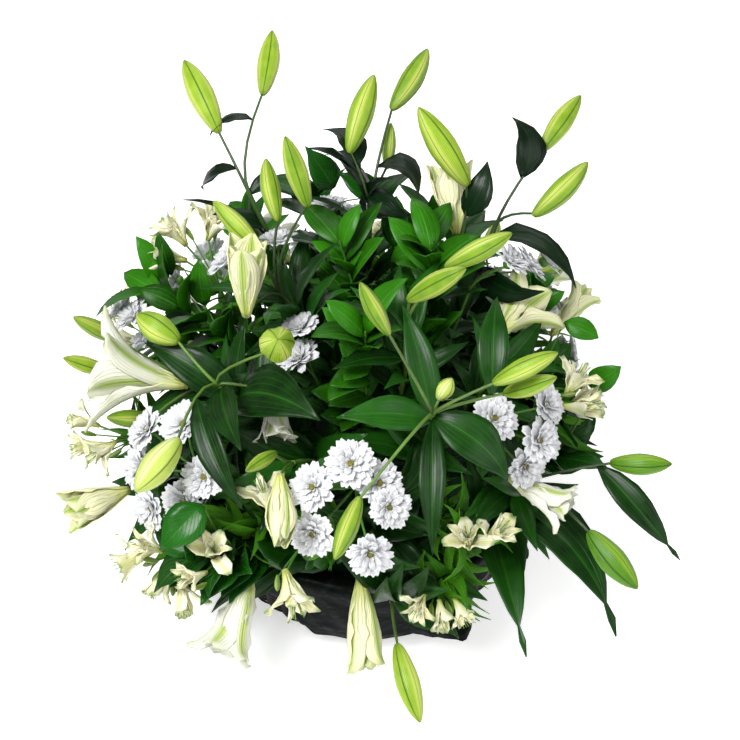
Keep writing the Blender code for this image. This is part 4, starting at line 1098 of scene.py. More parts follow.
ALSTROEMERIAS = numbered("alstroemeria_spray", {  # foot, neck, florets
    1: ((220, 30), (-20, -19, 18),
        [((-22.5, -23, 19), (-24, -26, 18)), ((-21, -24, 19), (-20, -28, 17.5)),
         ((-24, -21, 20), (-28.5, -22.5, 19)), ((-23, -22, 21), (-26, -22.5, 23.5))]),
    2: ((236, 46), (-14, -19.5, 20),
        [((-17, -24, 22.5), (-16.5, -25.5, 26.5)), ((-17.6, -25.4, 21.6), (-20.8, -27, 22.6))]),
    3: ((258, 45), (-7, -21, 21),
        [((-9, -25, 21.5), (-7.2, -30, 20)), ((-10.5, -21.5, 27.5), (-11.6, -20.5, 31.5))]),
    4: ((185, 32), (-27, -4, 20),
        [((-32, -4.5, 23), (-35, -5, 25)), ((-31, -6.5, 22), (-35, -8, 23)),
         ((-29.5, -8, 24), (-32.5, -10.5, 24))]),
    5: ((300, 46), (10.5, -20, 21),
        [((11.5, -24, 24), (11, -24.5, 28)), ((13, -23.5, 24), (15.5, -23.5, 27.5))]),
    6: ((300, 30), (8.5, -23, 17),
        [((8.2, -27, 18.6), (8.5, -30.3, 17.8)), ((9.9, -26.2, 18), (11.2, -29, 16.4)),
         ((6.6, -27, 19.5), (5.2, -30, 19.6))]),
    7: ((350, 46), (21.5, -4, 25),
        [((23.5, -5, 29), (25.5, -4, 32.5)), ((23, -6, 28), (27, -7.5, 29.5)), ((24, -4, 26), (28, -3, 27))]),
    8: ((146, 46), (-18, 11, 31),
        [((-22, 13.5, 36), (-24.5, 15, 39.5)), ((-19.5, 14.5, 36), (-18, 16, 40)),
         ((-22, 12.5, 34.5), (-26, 12, 36.5))]),
    9: ((158, 30), (-26, 11, 21), [((-29, 13, 24), (-32.5, 14, 26.5)), ((-28.5, 11.5, 22), (-33, 10.5, 22))]),
    10: ((78, 47), (3, 25, 22),
        [((3, 28, 24.5), (3.2, 32.5, 25)), ((5, 28.5, 23), (7, 32, 23.5)), ((1, 28, 23), (-2, 32.5, 22.5))]),
    11: ((38, 30), (20, 17, 16), [((23, 20, 16.5), (27, 23, 16.5)), ((21, 22, 16), (24, 26, 15))]),
})
RUSCUS = numbered("ruscus_stem", {  # foot, end, chosen leaves
    1: ((270, 74), (0, -7, 41), []),
    2: ((0, 74), (7.5, 4.5, 43),
        [(0.9, (3, 7.5, 38.8), (9.2, 9, 41.8), 3.4), (0.94, (3.4, 9, 39.6), (3.6, 12.5, 44.6), 3.2),
         (0.96, (6.6, 8, 40.4), (10, 12, 44), 3.0)]),
    3: ((30, 87), (-3, 5, 44), []),
    4: ((160, 61), (-25.5, 8, 33.5),
        [(0.82, (-24.8, 11, 31.8), (-27.8, 12.5, 38.4), 3.0), (0.86, (-22.4, 6, 32.6), (-27.4, 7, 34.6), 3.0),
         (0.74, (-23.8, 11, 33.5), (-25, 12, 39.5), 2.2), (0.7, (-19.7, 8, 31.2), (-19.9, 9.5, 37.5), 2.8)]),
    5: ((12, 47), (25, 1, 27),
        [(0.85, (27.4, 2, 23.4), (30.8, 1, 27.6), 3.2), (0.78, (24, 5, 31.2), (28, 3, 30.4), 2.8),
         (0.62, (20.8, 8, 31), (24.1, 8, 33.5), 2.0)]),
    6: ((65, 61), (9, 23, 32), []),
    7: ((125, 47), (-15, 25, 30), []),
    8: ((33, 46), (22, 13, 31), []),
})
SALAL = numbered("salal_stem", {  # foot, end, chosen leaves
    1: ((241, 30), (-19, -23, 23), [(0.8, (-17.6, -23, 30.3), (-22.3, -26.5, 26.9), 4.4)]),
    2: ((340, 31), (26.5, -5, 29), []),
    3: ((97, 61), (-7, 20, 40),
        [(0.97, (-3.9, 17, 42.2), (-7.2, 17.4, 48.2), 3.6), (0.9, (1.5, 16, 41.8), (-3.4, 17.2, 44.4), 3.2)]),
})
print("sprays:", len(CHRYSANTHEMUMS), "and", len(ALSTROEMERIAS), "- foliage stems:", len(RUSCUS) + len(SALAL))

# %% [markdown]
# ## The line of a stem
# Every stem is straight where it leaves its socket in the foam and then bends once towards its neck. Each
# flower's stalk carries on from there. Repeating the solid model's own rule keeps stem, socket and flower
# together.

# %% Lines
FOCUS = Vector((0, 0, 0.030))
FOAM_RADIUS, FOAM_SHOULDER, FOAM_TOP = 0.168, 0.100, 0.165
SOCKET_DEPTH, STRAIGHT, STEM_BEND = 0.026, 0.014, 0.45
STALK_OVERLAP, STALK_BEND = 0.004, 0.35


def metres(*places):
    """Places in centimetres as vectors in metres."""
    vectors = [Vector(place) * 0.01 for place in places]
    return vectors if len(vectors) > 1 else vectors[0]


def foam_entry(aim):
    """How far from the focal point a stem with this aim meets the foam's domed top."""
    squeeze = (FOAM_TOP - FOAM_SHOULDER) / FOAM_RADIUS
    a = aim.x**2 + aim.y**2 + (aim.z / squeeze) ** 2
    low = FOCUS.z - FOAM_SHOULDER
    b = aim.z * low / squeeze**2
    c = (low / squeeze) ** 2 - FOAM_RADIUS**2
    return (-b + math.sqrt(b * b - a * c)) / a


def bend(start, control, end, steps):
    """Points along a quadratic curve, both ends included."""
    shares = [i / steps for i in range(steps + 1)]
    return [(1 - s) ** 2 * start + 2 * s * (1 - s) * control + s * s * end for s in shares]


def stem_line(foot, end):
    """The line of a cut stem from its end in the foam to its neck."""
    aim = direction(*foot)
    surface = foam_entry(aim)
    clear = FOCUS + (surface + STRAIGHT) * aim
    reach = (end - clear).length
    return [FOCUS + (surface - SOCKET_DEPTH) * aim] + bend(clear, clear + STEM_BEND * reach * aim, end, 8)


def stalk_line(line, base, axis):
    """The line of a flower's stalk from the end of its stem."""
    neck = line[-1]
    aim = (line[-1] - line[-2]).normalized()
    control = neck + STALK_BEND * (base - neck).length * aim
    return bend(neck - STALK_OVERLAP * aim, control, base + STALK_OVERLAP * axis, 5)


def along(line, share):
    """The point and the heading at a share of a line's length."""
    lengths = [(b - a).length for a, b in zip(line, line[1:])]
    left = share * sum(lengths)
    for a, b, length in zip(line, line[1:], lengths):
        if left <= length:
            return a.lerp(b, left / length), (b - a).normalized()
        left -= length
    return line[-1], (line[-1] - line[-2]).normalized()


def tapered(line, thick, thin, finish, sides=2):
    """A stem or stalk that thins towards its end."""
    count = len(line) - 1
    radii = [thick + (thin - thick) * i / count for i in range(count + 1)]
    return rod(line, radii, finish, sides, dice.random())


print("a stem that rises at 60 degrees meets the foam", round(1000 * foam_entry(direction(0, 60))), "mm out")

# %% [markdown]
# ## Room for every leaf
# Leaves fill the dome, so they are set by rule: up each stem they turn by the golden angle, as in nature, and a
# leaf that would cut through a flower or another leaf turns on until it has room, or is left out. A coarse
# outline of each thing is enough for that test, and comparing boxes first keeps it quick.

# %% Room
TAKEN = []
HEAD_RADIUS, HEAD_NECK = 0.026, 0.014
CLOSED = {"bud": 3, "fresh": 2, "stout": 1, "plump": 1}
MOUTHS = {
    "bud": 0.03, "fresh": 0.03, "parting": 0.18, "stout": 0.05, "plump": 0.05, "closed": 0.06, "tube": 0.16,
    "flared": 0.28, "trumpet": 0.26, "cream": 0.26, "wide": 0.36, "open": 0.40, "shaded": 0.40,
}


def boxed(points, faces):
    """A coarse shape as its lowest and highest corner and a tree to test against."""
    low, high = [[end(p[i] for p in points) for i in range(3)] for end in (min, max)]
    return low, high, BVHTree.FromPolygons(points, faces)


def coarse_cone(base, tip, *radii):
    """A six-sided hull from base to tip with three radii."""
    axis = (tip - base).normalized()
    side = axis.orthogonal().normalized()
    other = axis.cross(side)
    turns = [math.pi * k / 3 for k in range(6)]
    rings = []
    for share, radius in zip((0.05, 0.5, 1.0), radii):
        rings += [base.lerp(tip, share) + radius * (math.cos(a) * side + math.sin(a) * other) for a in turns]
    faces = [tuple(range(6)), tuple(range(12, 18))]
    for low in (0, 6):
        faces += [(low + k, low + (k + 1) % 6, low + 6 + (k + 1) % 6, low + 6 + k) for k in range(6)]
    return boxed(rings, faces)


def coarse_leaf(base, tip, width, up):
    """A thin arched outline of a leaf."""
    axis = tip - base
    side = axis.cross(up).normalized()
    rise = side.cross(axis).normalized()
    points = [base]
    for share, part in ((0.3, 0.5), (0.65, 0.42)):
        middle = base.lerp(tip, share) + 0.09 * axis.length * rise
        points += [middle - part * width * side, middle + part * width * side]
    return boxed([*points, tip], [(0, 1, 2), (1, 2, 4, 3), (3, 4, 5)])


def has_room(shape):
    """Whether a coarse shape crosses nothing that is already taken."""
    low, high, tree = shape
    for other_low, other_high, other in TAKEN:
        apart = any(high[i] < other_low[i] or low[i] > other_high[i] for i in range(3))
        if not apart and tree.overlap(other):
            return False
    return True


def head_facing(centre, neck):
    """A head faces halfway between straight out of its stem and straight out of the basket."""
    return ((centre - neck).normalized() + (centre - FOCUS).normalized()).normalized()


for name in ("basket_wall", "basket_border", "film_liner"):
    mesh = frame["nodes"][name].data
    TAKEN.append(boxed([v.co.copy() for v in mesh.vertices], [tuple(p.vertices) for p in mesh.polygons]))
for _, _, flowers, _ in LILIES.values():
    for form, base, tip, *_ in flowers:
        base, tip = metres(base, tip)
        length = (tip - base).length
        TAKEN.append(coarse_cone(base, tip, 0.06 * length, 0.11 * length, MOUTHS[form] * length))
for _, neck, heads in CHRYSANTHEMUMS.values():
    for centre in heads:
        centre, end = metres(centre, neck)
        out = head_facing(centre, end)
        radii = 0.7 * HEAD_RADIUS, 0.95 * HEAD_RADIUS, 0.5 * HEAD_RADIUS
        TAKEN.append(coarse_cone(centre - 0.006 * out, centre + 0.012 * out, *radii))
for _, _, florets in ALSTROEMERIAS.values():
    TAKEN += [coarse_cone(*metres(base, mouth), 0.003, 0.008, 0.016) for base, mouth in florets]
print("places already taken:", len(TAKEN))

# %% [markdown]
# ## Leaves up a stem
# Each kind of plant carries its own leaves: how many, how long and wide, how far they lean from the stem, which
# part of the stem carries them and how far out from the focal point they may reach. A few stems reach further
# or less far than their kind. No leaf hangs over the film where it shows at the front.

# %% Leaf rules
LEAF_RULES = {  # model, its number of shapes, count, length, width to length, lean, span of the stem, reach
    "lily": ("lily", 5, 22, (0.085, 0.125), 0.29, (38, 72), (0.20, 0.97), 0.37),
    "chrysanthemum": ("lobed", 2, 8, (0.045, 0.06), 0.5, (40, 75), (0.3, 0.9), 0.33),
    "alstroemeria": ("slim", 4, 26, (0.055, 0.09), 0.21, (30, 70), (0.3, 1.0), 0.36),
    "ruscus": ("ruscus", 4, 34, (0.050, 0.084), 0.45, (35, 65), (0.22, 1.0), 0.45),
    "salal": ("salal", 3, 16, (0.060, 0.080), 0.62, (35, 65), (0.4, 1.0), 0.45),
}
REACHES = {
    "lily_stem_01": 0.39, "lily_stem_02": 0.43, "lily_stem_03": 0.45, "lily_stem_04": 0.43,
    "lily_stem_06": 0.41, "salal_stem_02": 0.37, "ruscus_stem_05": 0.36, "ruscus_stem_08": 0.39,
}
GOLDEN_ANGLE, TURN_ON, TRIES = 137.5, 40, 12
OVERLAP = 0.6
UPWARD = Vector((0, -0.15, 0.45))
FILM_SHOWS_LEFT, FILM_SHOWS_RIGHT, FILM_LINE = -0.150, 0.066, -0.04
FRONT_HALF_WIDTH, LOWEST_FRONT, LOWEST_TIP = 0.15, -0.175, 0.03


def any_way():
    """A vector that points anywhere."""
    return Vector([dice.uniform(-1, 1) for _ in range(3)])


def leaf_at(base, tip, up, model, width, lightest=1.0):
    """A leaf from base to tip, noted as taken."""
    TAKEN.append(coarse_leaf(base, tip, OVERLAP * width, up))
    return copy_model(model, placing(model, base, tip, up, width), dice.uniform(0, lightest))


def hides_film(tip):
    """Whether a leaf with this tip would hang over the film that shows at the front, or below it."""
    fall = tip.y + tip.z
    over_film = FILM_SHOWS_LEFT < tip.x < FILM_SHOWS_RIGHT and fall < FILM_LINE
    return over_film or (abs(tip.x) < FRONT_HALF_WIDTH and fall < LOWEST_FRONT)


def leaves_up(name, line, kind, turned):
    """The leaves set by rule up a stem."""
    form, shapes, count, lengths, broad, leans, (first, last), reach = LEAF_RULES[kind]
    reach = REACHES.get(name, reach)
    leaves = []
    for number in range(count):
        base, heading = along(line, first + (last - first) * (number + dice.random()) / count)
        side = heading.orthogonal().normalized()
        other = heading.cross(side)
        size = dice.uniform(*lengths)
        lean = math.radians(dice.uniform(*leans))
        model = f"{form}_{dice.randrange(shapes)}"
        for attempt in range(TRIES):
            a = math.radians(turned + GOLDEN_ANGLE * number + TURN_ON * attempt)
            out = math.cos(a) * side + math.sin(a) * other
            tip = base + size * (math.cos(lean) * heading + math.sin(lean) * out)
            if tip.z < LOWEST_TIP or (tip - FOCUS).length > reach or hides_film(tip):
                continue
            up = heading + 0.25 * out + UPWARD
            if has_room(coarse_leaf(base, tip, OVERLAP * broad * size, up)):
                leaves.append(leaf_at(base, tip, up, model, broad * size))
                break
    return leaves


print("leaves wanted per lily stem:", LEAF_RULES["lily"][2])

# %% [markdown]
# ## Finished pieces
# A stem becomes up to three pieces: its greens (stem, stalks and leaves), its buds and its blooms. One piece
# for a whole stem would be simpler, but each of the three has a finish of its own and may be looked at by
# itself. Together they stand for one node of the solid model.


# %% Pieces of a stem
def settle(piece, node):
    """Attaches a finished piece to the root body and hides the plain part that it replaces."""
    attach(piece, "root")
    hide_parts(node)


def settle_stem(name, greens, buds=(), blooms=()):
    """Joins a stem's parts into its pieces."""
    for suffix, parts in (("greens", greens), ("buds", buds), ("blooms", blooms)):
        if parts:
            settle(joined(f"{name}.{suffix}", parts), name)


print("stems to grow:", sum(len(stems) for stems in (LILIES, CHRYSANTHEMUMS, ALSTROEMERIAS, RUSCUS, SALAL)))

# %% [markdown]
# ## Lilies
# The planned big leaves come first, because they show most; each arches away from the middle of the basket. The
# stems at the top are dark against the light and carry dark, curled bracts. A few buds and leaves have a tone
# or a turn of their own, and the rest are left to the dice.

# %% Lily stems
DRIPPING = "lily_stem_15"
TOP_STEMS = ("lily_stem_01", "lily_stem_03", "lily_stem_04", "lily_stem_05")
DARK_STALKS = (*TOP_STEMS, "lily_stem_02", "lily_stem_15")
DARK_LEAVES = {"lily_stem_08": 0.12}
BIG_LEAF_FACE = Vector((0, -0.6, 0.8))
TURNED_LEAVES = {
    ("lily_stem_05", 1): Vector((0.4, -0.45, 0.8)), ("lily_stem_05", 2): Vector((0, -0.7, 0.7)),
}
BUD_TONES = {
    ("lily_stem_01", 0): 0.9, ("lily_stem_04", 0): 1.0, ("lily_stem_06", 0): 0.3, ("lily_stem_06", 1): 0.1,
    ("lily_stem_07", 0): 0.0, ("lily_stem_08", 2): 0.9, ("lily_stem_14", 0): 0.8,
}
LILY_STEM, LILY_NECK, LILY_STALK, LILY_STALK_END = 0.0040, 0.0032, 0.0021, 0.0015


def big_leaf_start(flowers, line, start):
    """Where a big leaf starts: on the stem or on one of its stalks."""
    if not isinstance(start, tuple):
        return along(line, start)[0]
    _, base, tip, *_ = flowers[start[0]]
    base, tip = metres(base, tip)
    return along(stalk_line(line, base, (tip - base).normalized()), start[1])[0]


lily_parts = {}
for name, (foot, neck, flowers, big_leaves) in LILIES.items():
    line = stem_line(foot, metres(neck))
    stalk = dark_stalk if name in DARK_STALKS else lily_stalk
    greens, buds, blooms = [tapered(line, LILY_STEM, LILY_NECK, stalk)], [], []
    for number, (form, base, tip, *girth) in enumerate(flowers):
        base, tip = metres(base, tip)
        reach = stalk_line(line, base, (tip - base).normalized())
        greens.append(tapered(reach, LILY_STALK, LILY_STALK_END, stalk))
        up = any_way()
        model = f"{form}_{dice.randrange(CLOSED[form])}" if form in CLOSED else form
        width = girth[0] * (tip - base).length if girth else None
        tone = BUD_TONES.get((name, number), dice.random()) if form in CLOSED else None
        made = copy_model(model, placing(model, base, tip, up, width, all_round=True), tone)
        (buds if form in CLOSED else blooms).append(made)
    for number, (start, tip, width) in enumerate(big_leaves):
        base, tip = big_leaf_start(flowers, line, start), metres(tip)
        up = ((base + tip) / 2 - FOCUS).normalized() + BIG_LEAF_FACE
        model = f"drip_{number % 2}" if name == DRIPPING else f"big_{number % 3}"
        if name in TOP_STEMS:
            model, up = f"bract_{number % 3}", TURNED_LEAVES.get((name, number), Vector((0, 0.1, 1)))
        greens.append(leaf_at(base, tip, up, model, width * 0.01, DARK_LEAVES.get(name, 1.0)))
    lily_parts[name] = (line, greens, buds, blooms)
for number, (name, (line, greens, buds, blooms)) in enumerate(lily_parts.items()):
    greens += leaves_up(name, line, "lily", 97 * number)
    settle_stem(name, greens, buds, blooms)
pieces = [piece.name for piece in bpy.data.objects if piece.name.startswith("lily_stem") and "." in piece.name]
print("lily pieces:", len(pieces))

# %% [markdown]
# ## Chrysanthemum sprays
# A spray's heads share one stem, whose stalks part at its neck. A head could look straight out of its stem, but
# real ones also turn to the light, so each faces halfway between that and straight out of the basket.

# %% Chrysanthemum sprays
SPRAY_STEM, SPRAY_NECK, SPRAY_STALK, SPRAY_STALK_END = 0.0026, 0.0020, 0.0016, 0.0013
HEAD_SIZES = (0.95, 1.08)


def spray(foot, neck):
    """The line of a spray's stem, and the stem as the first of its greens."""
    line = stem_line(foot, metres(neck))
    return line, [tapered(line, SPRAY_STEM, SPRAY_NECK, green_stalk)]


def spray_stalk(line, base, axis):
    """A stalk from a spray's neck to a head."""
    return tapered(stalk_line(line, base, axis), SPRAY_STALK, SPRAY_STALK_END, green_stalk)


for number, (name, (foot, neck, heads)) in enumerate(CHRYSANTHEMUMS.items()):
    line, greens = spray(foot, neck)
    blooms = []
    for place in heads:
        centre = metres(place)
        out = head_facing(centre, line[-1])
        greens.append(spray_stalk(line, centre - HEAD_NECK * out, out))
        up = any_way()
        size = HEAD_RADIUS * dice.uniform(*HEAD_SIZES)
        model = f"mum_{dice.randrange(3)}"
        blooms.append(copy_model(model, placing(model, centre, centre + size * out, up)))
    greens += leaves_up(name, line, "chrysanthemum", 61 * number)
    settle_stem(name, greens, blooms=blooms)
print("chrysanthemum heads:", sum(len(heads) for _, _, heads in CHRYSANTHEMUMS.values()))

# %% [markdown]
# ## Alstroemeria sprays
# Slim leaves and a small green bud stand beside each floret. They could be planned one by one, but they only
# fill the gaps round the florets, so the dice turn them. A floret is drawn a little past its planned mouth,
# because its petals curl back.

# %% Alstroemeria sprays
FLORET_SIZE = 1.1
BRACTS_PER_FLORET, BRACT_LENGTHS, BRACT_WIDTH, BRACT_SPREAD = 2, (0.045, 0.065), 0.012, 0.8
BUD_ASIDE, BUD_LENGTH, BUD_STALK, BUD_STALK_END = 0.012, 0.020, 0.0012, 0.0010
for number, (name, (foot, neck, florets)) in enumerate(ALSTROEMERIAS.items()):
    line, greens = spray(foot, neck)
    buds, blooms = [], []
    for base, mouth in florets:
        base, mouth = metres(base, mouth)
        axis = (mouth - base).normalized()
        greens.append(spray_stalk(line, base, axis))
        up = any_way()
        model = f"floret_{dice.randrange(2)}"
        blooms.append(copy_model(model, placing(model, base, base + FLORET_SIZE * (mouth - base), up)))
        for _ in range(BRACTS_PER_FLORET):
            aim = (axis + BRACT_SPREAD * any_way()).normalized()
            tip = line[-1] + dice.uniform(*BRACT_LENGTHS) * aim
            if not hides_film(tip):
                greens.append(leaf_at(line[-1], tip, up, f"slim_{dice.randrange(4)}", BRACT_WIDTH))
        bud_base = base + BUD_ASIDE * axis.orthogonal().normalized()
        bud_axis = (axis + 0.5 * (bud_base - line[-1]).normalized()).normalized()
        reach = stalk_line(line, bud_base, bud_axis)
        greens.append(tapered(reach, BUD_STALK, BUD_STALK_END, green_stalk, sides=1))
        matrix = placing("slim_bud_0", bud_base, bud_base + BUD_LENGTH * bud_axis, up)
        buds.append(copy_model("slim_bud_0", matrix, dice.random()))
    greens += leaves_up(name, line, "alstroemeria", 83 * number)
    settle_stem(name, greens, buds, blooms)
print("alstroemeria florets:", sum(len(florets) for _, _, florets in ALSTROEMERIAS.values()))

# %% [markdown]
# ## Foliage
# Ruscus and salal fill the dome between the flowers. A chosen leaf hangs on a thin twig of its own, which
# leaves the stem at the share that the plan gives.

# %% Foliage stems
TWIG_ARCH = Vector((0, 0, 0.004))
TWIG, TWIG_END = 0.0012, 0.0007
for kind, stems, thick, finish in (
    ("ruscus", RUSCUS, 0.0020, green_stalk), ("salal", SALAL, 0.0022, lily_stalk),
):
    for number, (name, (foot, end, chosen)) in enumerate(stems.items()):
        line = stem_line(foot, metres(end))
        greens = [tapered(line, thick, TWIG, finish)]
        for share, base, tip, width in chosen:
            base, tip = metres(base, tip)
            fork = along(line, share)[0]
            greens.append(tapered([fork, (fork + base) / 2 + TWIG_ARCH, base], TWIG, TWIG_END, finish))
            model = f"{kind}_{dice.randrange(LEAF_RULES[kind][1])}"
            greens.append(leaf_at(base, tip, BIG_LEAF_FACE, model, width * 0.01))
        greens += leaves_up(name, line, kind, 50 * number)
        settle_stem(name, greens)
print("things placed in all:", len(TAKEN))

# %% [markdown]
# ## Measures of the weave
# A basket wall is uprights, called stakes, with thin rods woven in front of one and behind the next. Its height
# and its slope come from the solid wall, and the rounds lie close, so that no light shows between them.

# %% Wall measures
STAKES = 48
SEGMENTS_PER_STAKE = 4
STAKE_RADIUS, ROD_RADIUS, ROD_PITCH = 0.0013, 0.0016, 0.00335
SWING = STAKE_RADIUS + ROD_RADIUS
WALL_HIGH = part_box("basket_wall")[1]
RIM_RADIUS, WALL_TOP = WALL_HIGH.x, WALL_HIGH.z
BASE_RADIUS = 0.190
HALF_WALL, WALL_SLACK, STAKE_SLACK = 0.0045, 0.0008, 0.0006
ROUNDS = int(WALL_TOP / ROD_PITCH)


def wall_radius(height):
    """The radius of the middle of the wall at a height."""
    return BASE_RADIUS + (RIM_RADIUS - BASE_RADIUS) * height / WALL_TOP - HALF_WALL - WALL_SLACK


MEAN_RADIUS = wall_radius(WALL_TOP / 2)
print("wall: rim radius", round(RIM_RADIUS, 3), "height", round(WALL_TOP, 3), "rounds", ROUNDS)

# %% [markdown]
# ## Woven wall
# One woven round is a torus whose segments are pulled out and in as it passes the stakes. Its copies are
# stacked, and every second one is turned by one stake, so that the rounds alternate as they do in plain
# weaving. The rods could be drawn as curves one by one, but one round and its copies are quicker and just as
# even.

# %% Woven wall
round_of_weave = started(
    bpy.ops.mesh.primitive_torus_add, major_segments=STAKES * SEGMENTS_PER_STAKE, minor_segments=5,
    major_radius=MEAN_RADIUS, minor_radius=ROD_RADIUS,
)
steps = {}
for vertex in round_of_weave.data.vertices:
    turn = math.atan2(vertex.co.y, vertex.co.x) / (2 * math.pi) * STAKES * SEGMENTS_PER_STAKE
    steps.setdefault(round(turn) % (2 * SEGMENTS_PER_STAKE), []).append(vertex.index)
bpy.ops.object.mode_set(mode="EDIT")
for step, ring in steps.items():
    resize_ring(round_of_weave, ring, 1 + SWING * math.cos(math.pi * step / SEGMENTS_PER_STAKE) / MEAN_RADIUS)
bpy.ops.object.mode_set(mode="OBJECT")
bpy.ops.object.shade_smooth()
keep_model("round", round_of_weave, willow)


def woven_round(height, radius, number):
    """One round of the weave at a height, turned by one stake when its number is odd."""
    size = Matrix.Diagonal((radius / MEAN_RADIUS, radius / MEAN_RADIUS, 1, 1))
    turn = Matrix.Rotation(2 * math.pi * number / STAKES, 4, "Z")
    return copy_model("round", Matrix.Translation((0, 0, height)) @ turn @ size, dice.random())


parts = []
for number in range(ROUNDS):
    height = ROD_RADIUS + number * (WALL_TOP - 2 * ROD_RADIUS) / (ROUNDS - 1)
    parts.append(woven_round(height, wall_radius(height), number))
for number in range(STAKES):
    out = direction(360 * number / STAKES, 0)
    foot = wall_radius(0) * out + STAKE_SLACK * UP
    top = wall_radius(WALL_TOP) * out + (WALL_TOP - STAKE_SLACK) * UP
    parts.append(rod([foot, foot.lerp(top, 0.5), top], [STAKE_RADIUS] * 3, willow, tone=dice.random()))
wall = joined("basket_wall.weave", parts)
settle(wall, "basket_wall")
print("woven wall:", len(wall.data.polygons), "faces")

# %% [markdown]
# ## Border and base
# The border is four rods wound round each other over the tops of the stakes. The base is spokes that cross in
# the middle, with rods woven round them; it is hardly ever seen, so its rounds are plain thin rings.

# %% Border and base
BORDER_LOW, BORDER_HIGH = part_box("basket_border")
BORDER_HEIGHT, BORDER_RADIUS = (BORDER_LOW.z + BORDER_HIGH.z) / 2, RIM_RADIUS - HALF_WALL
STRANDS, STRAND_RADIUS, TWIST_RADIUS, TWISTS, STRAND_POINTS = 4, 0.0027, 0.0042, 26, 312
BASE_LOW, BASE_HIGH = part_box("basket_base")
BASE_MIDDLE, BASE_REACH = (BASE_LOW.z + BASE_HIGH.z) / 2, BASE_HIGH.x - 0.002
SPOKES, SPOKE_RADIUS, SPOKE_TURN = 24, 0.0014, 7.5
HUB_RADIUS, BASE_PITCH, BASE_LIFT, BASE_ROD = 0.012, 0.0048, 0.0022, 0.0016


def willow_ring(places, radius):
    """A closed ring of willow rod through places."""
    return rod(places, [radius] * len(places), willow, 1, dice.random(), ring=True)


parts = []
for strand in range(STRANDS):
    places = []
    for number in range(STRAND_POINTS):
        share = number / STRAND_POINTS
        twist = 2 * math.pi * (TWISTS * share + strand / STRANDS)
        out = BORDER_RADIUS + TWIST_RADIUS * math.cos(twist)
        places.append(out * direction(360 * share, 0) + (BORDER_HEIGHT + TWIST_RADIUS * math.sin(twist)) * UP)
    parts.append(willow_ring(places, STRAND_RADIUS))
settle(joined("basket_border.rope", parts), "basket_border")

parts = []
for number in range(SPOKES):
    end = BASE_REACH * direction(SPOKE_TURN * number, 0)
    parts.append(rod([-end, ORIGIN, end], [SPOKE_RADIUS] * 3, willow, sides=1, tone=dice.random()))
    parts[-1].data.transform(Matrix.Translation((0, 0, BASE_MIDDLE)))
for number in range(int(BASE_REACH / BASE_PITCH)):
    radius = HUB_RADIUS + BASE_PITCH * number
    if radius < BASE_REACH:
        places = [
            radius * direction(SPOKE_TURN * k, 0) + (BASE_MIDDLE + BASE_LIFT * (-1) ** (number + k)) * UP
            for k in range(2 * SPOKES)
        ]
        parts.append(willow_ring(places, BASE_ROD))
base_rounds = len(parts) - SPOKES
settle(joined("basket_base.weave", parts), "basket_base")
print("border strands:", STRANDS, "- base rounds:", base_rounds)

# %% [markdown]
# ## The run of the film
# The film was one square sheet pressed into the basket, folded out over the border and left to hang. It is
# drawn here as a surface: round the basket, each line runs from the middle of the floor, up the wall, over the
# border and down the skirt. The skirt is gathered into folds that grow towards its edge, and the four corners
# of the sheet stand out. Creases come from ridged noise, because thin film bends along straight ridges.

# %% Film measures
FILM_LOW, FILM_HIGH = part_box("film_liner")
FILM_ROUND, SKIRT_ROWS = 300, 11
FLOOR_RADII, FLOOR_HEIGHT, WALL_FOOT = (0.045, 0.09, 0.13, 0.16), 0.0092, 0.011
FLOOR_RELIEF, FLOOR_CREASES = 0.0012, 26
LOW_RADIUS, TOP_RADIUS, FOLD_RADIUS, SKIRT_RADIUS = 0.1745, 0.1880, 0.2100, 0.2140
FOLD_HEIGHT = FILM_HIGH.z - 0.0006
FLUTES, FLUTE_DEPTH = 34, 0.0044
SKIRT_DROP, FRONT_TURN, FRONT_HALF, FRONT_DROP = 0.036, 270, 48, 0.094
CALM_HALF, WRINKLE, SKIRT_CREASES = 44, 0.0050, 34
FILM_CORNERS = (  # turn, how far out, how far down
    (216, 0.074, 0.060), (297, 0.046, 0.072), (326, 0.026, 0.040), (38, 0.046, 0.058), (128, 0.056, 0.064),
)
CORNER_SPREAD = 13.0


def swell(degrees, turn, spread):
    """1 at a turn, easing to 0 at spread degrees from it."""
    off = min(1.0, abs((degrees - turn + 180) % 360 - 180) / spread)
    return (0.5 + 0.5 * math.cos(math.pi * off)) ** 1.4


def skirt_at(degrees):
    """How far out and how far down the film's edge reaches at a turn."""
    out, down = SKIRT_RADIUS, SKIRT_DROP
    down += (FRONT_DROP - SKIRT_DROP) * min(1.0, 1.6 * swell(degrees, FRONT_TURN, FRONT_HALF))
    for turn, flare, drop in FILM_CORNERS:
        share = swell(degrees, turn, CORNER_SPREAD)
        out = max(out, SKIRT_RADIUS + flare * share)
        down = max(down, SKIRT_DROP + (drop - SKIRT_DROP) * share)
    return out, down


def crease(place, scale):
    """Straight ridges between flat facets, about -0.5 to 0.5."""
    near = noise.voronoi(place * scale)[0]
    return min(1.0, 2.2 * (near[1] - near[0])) - 0.5


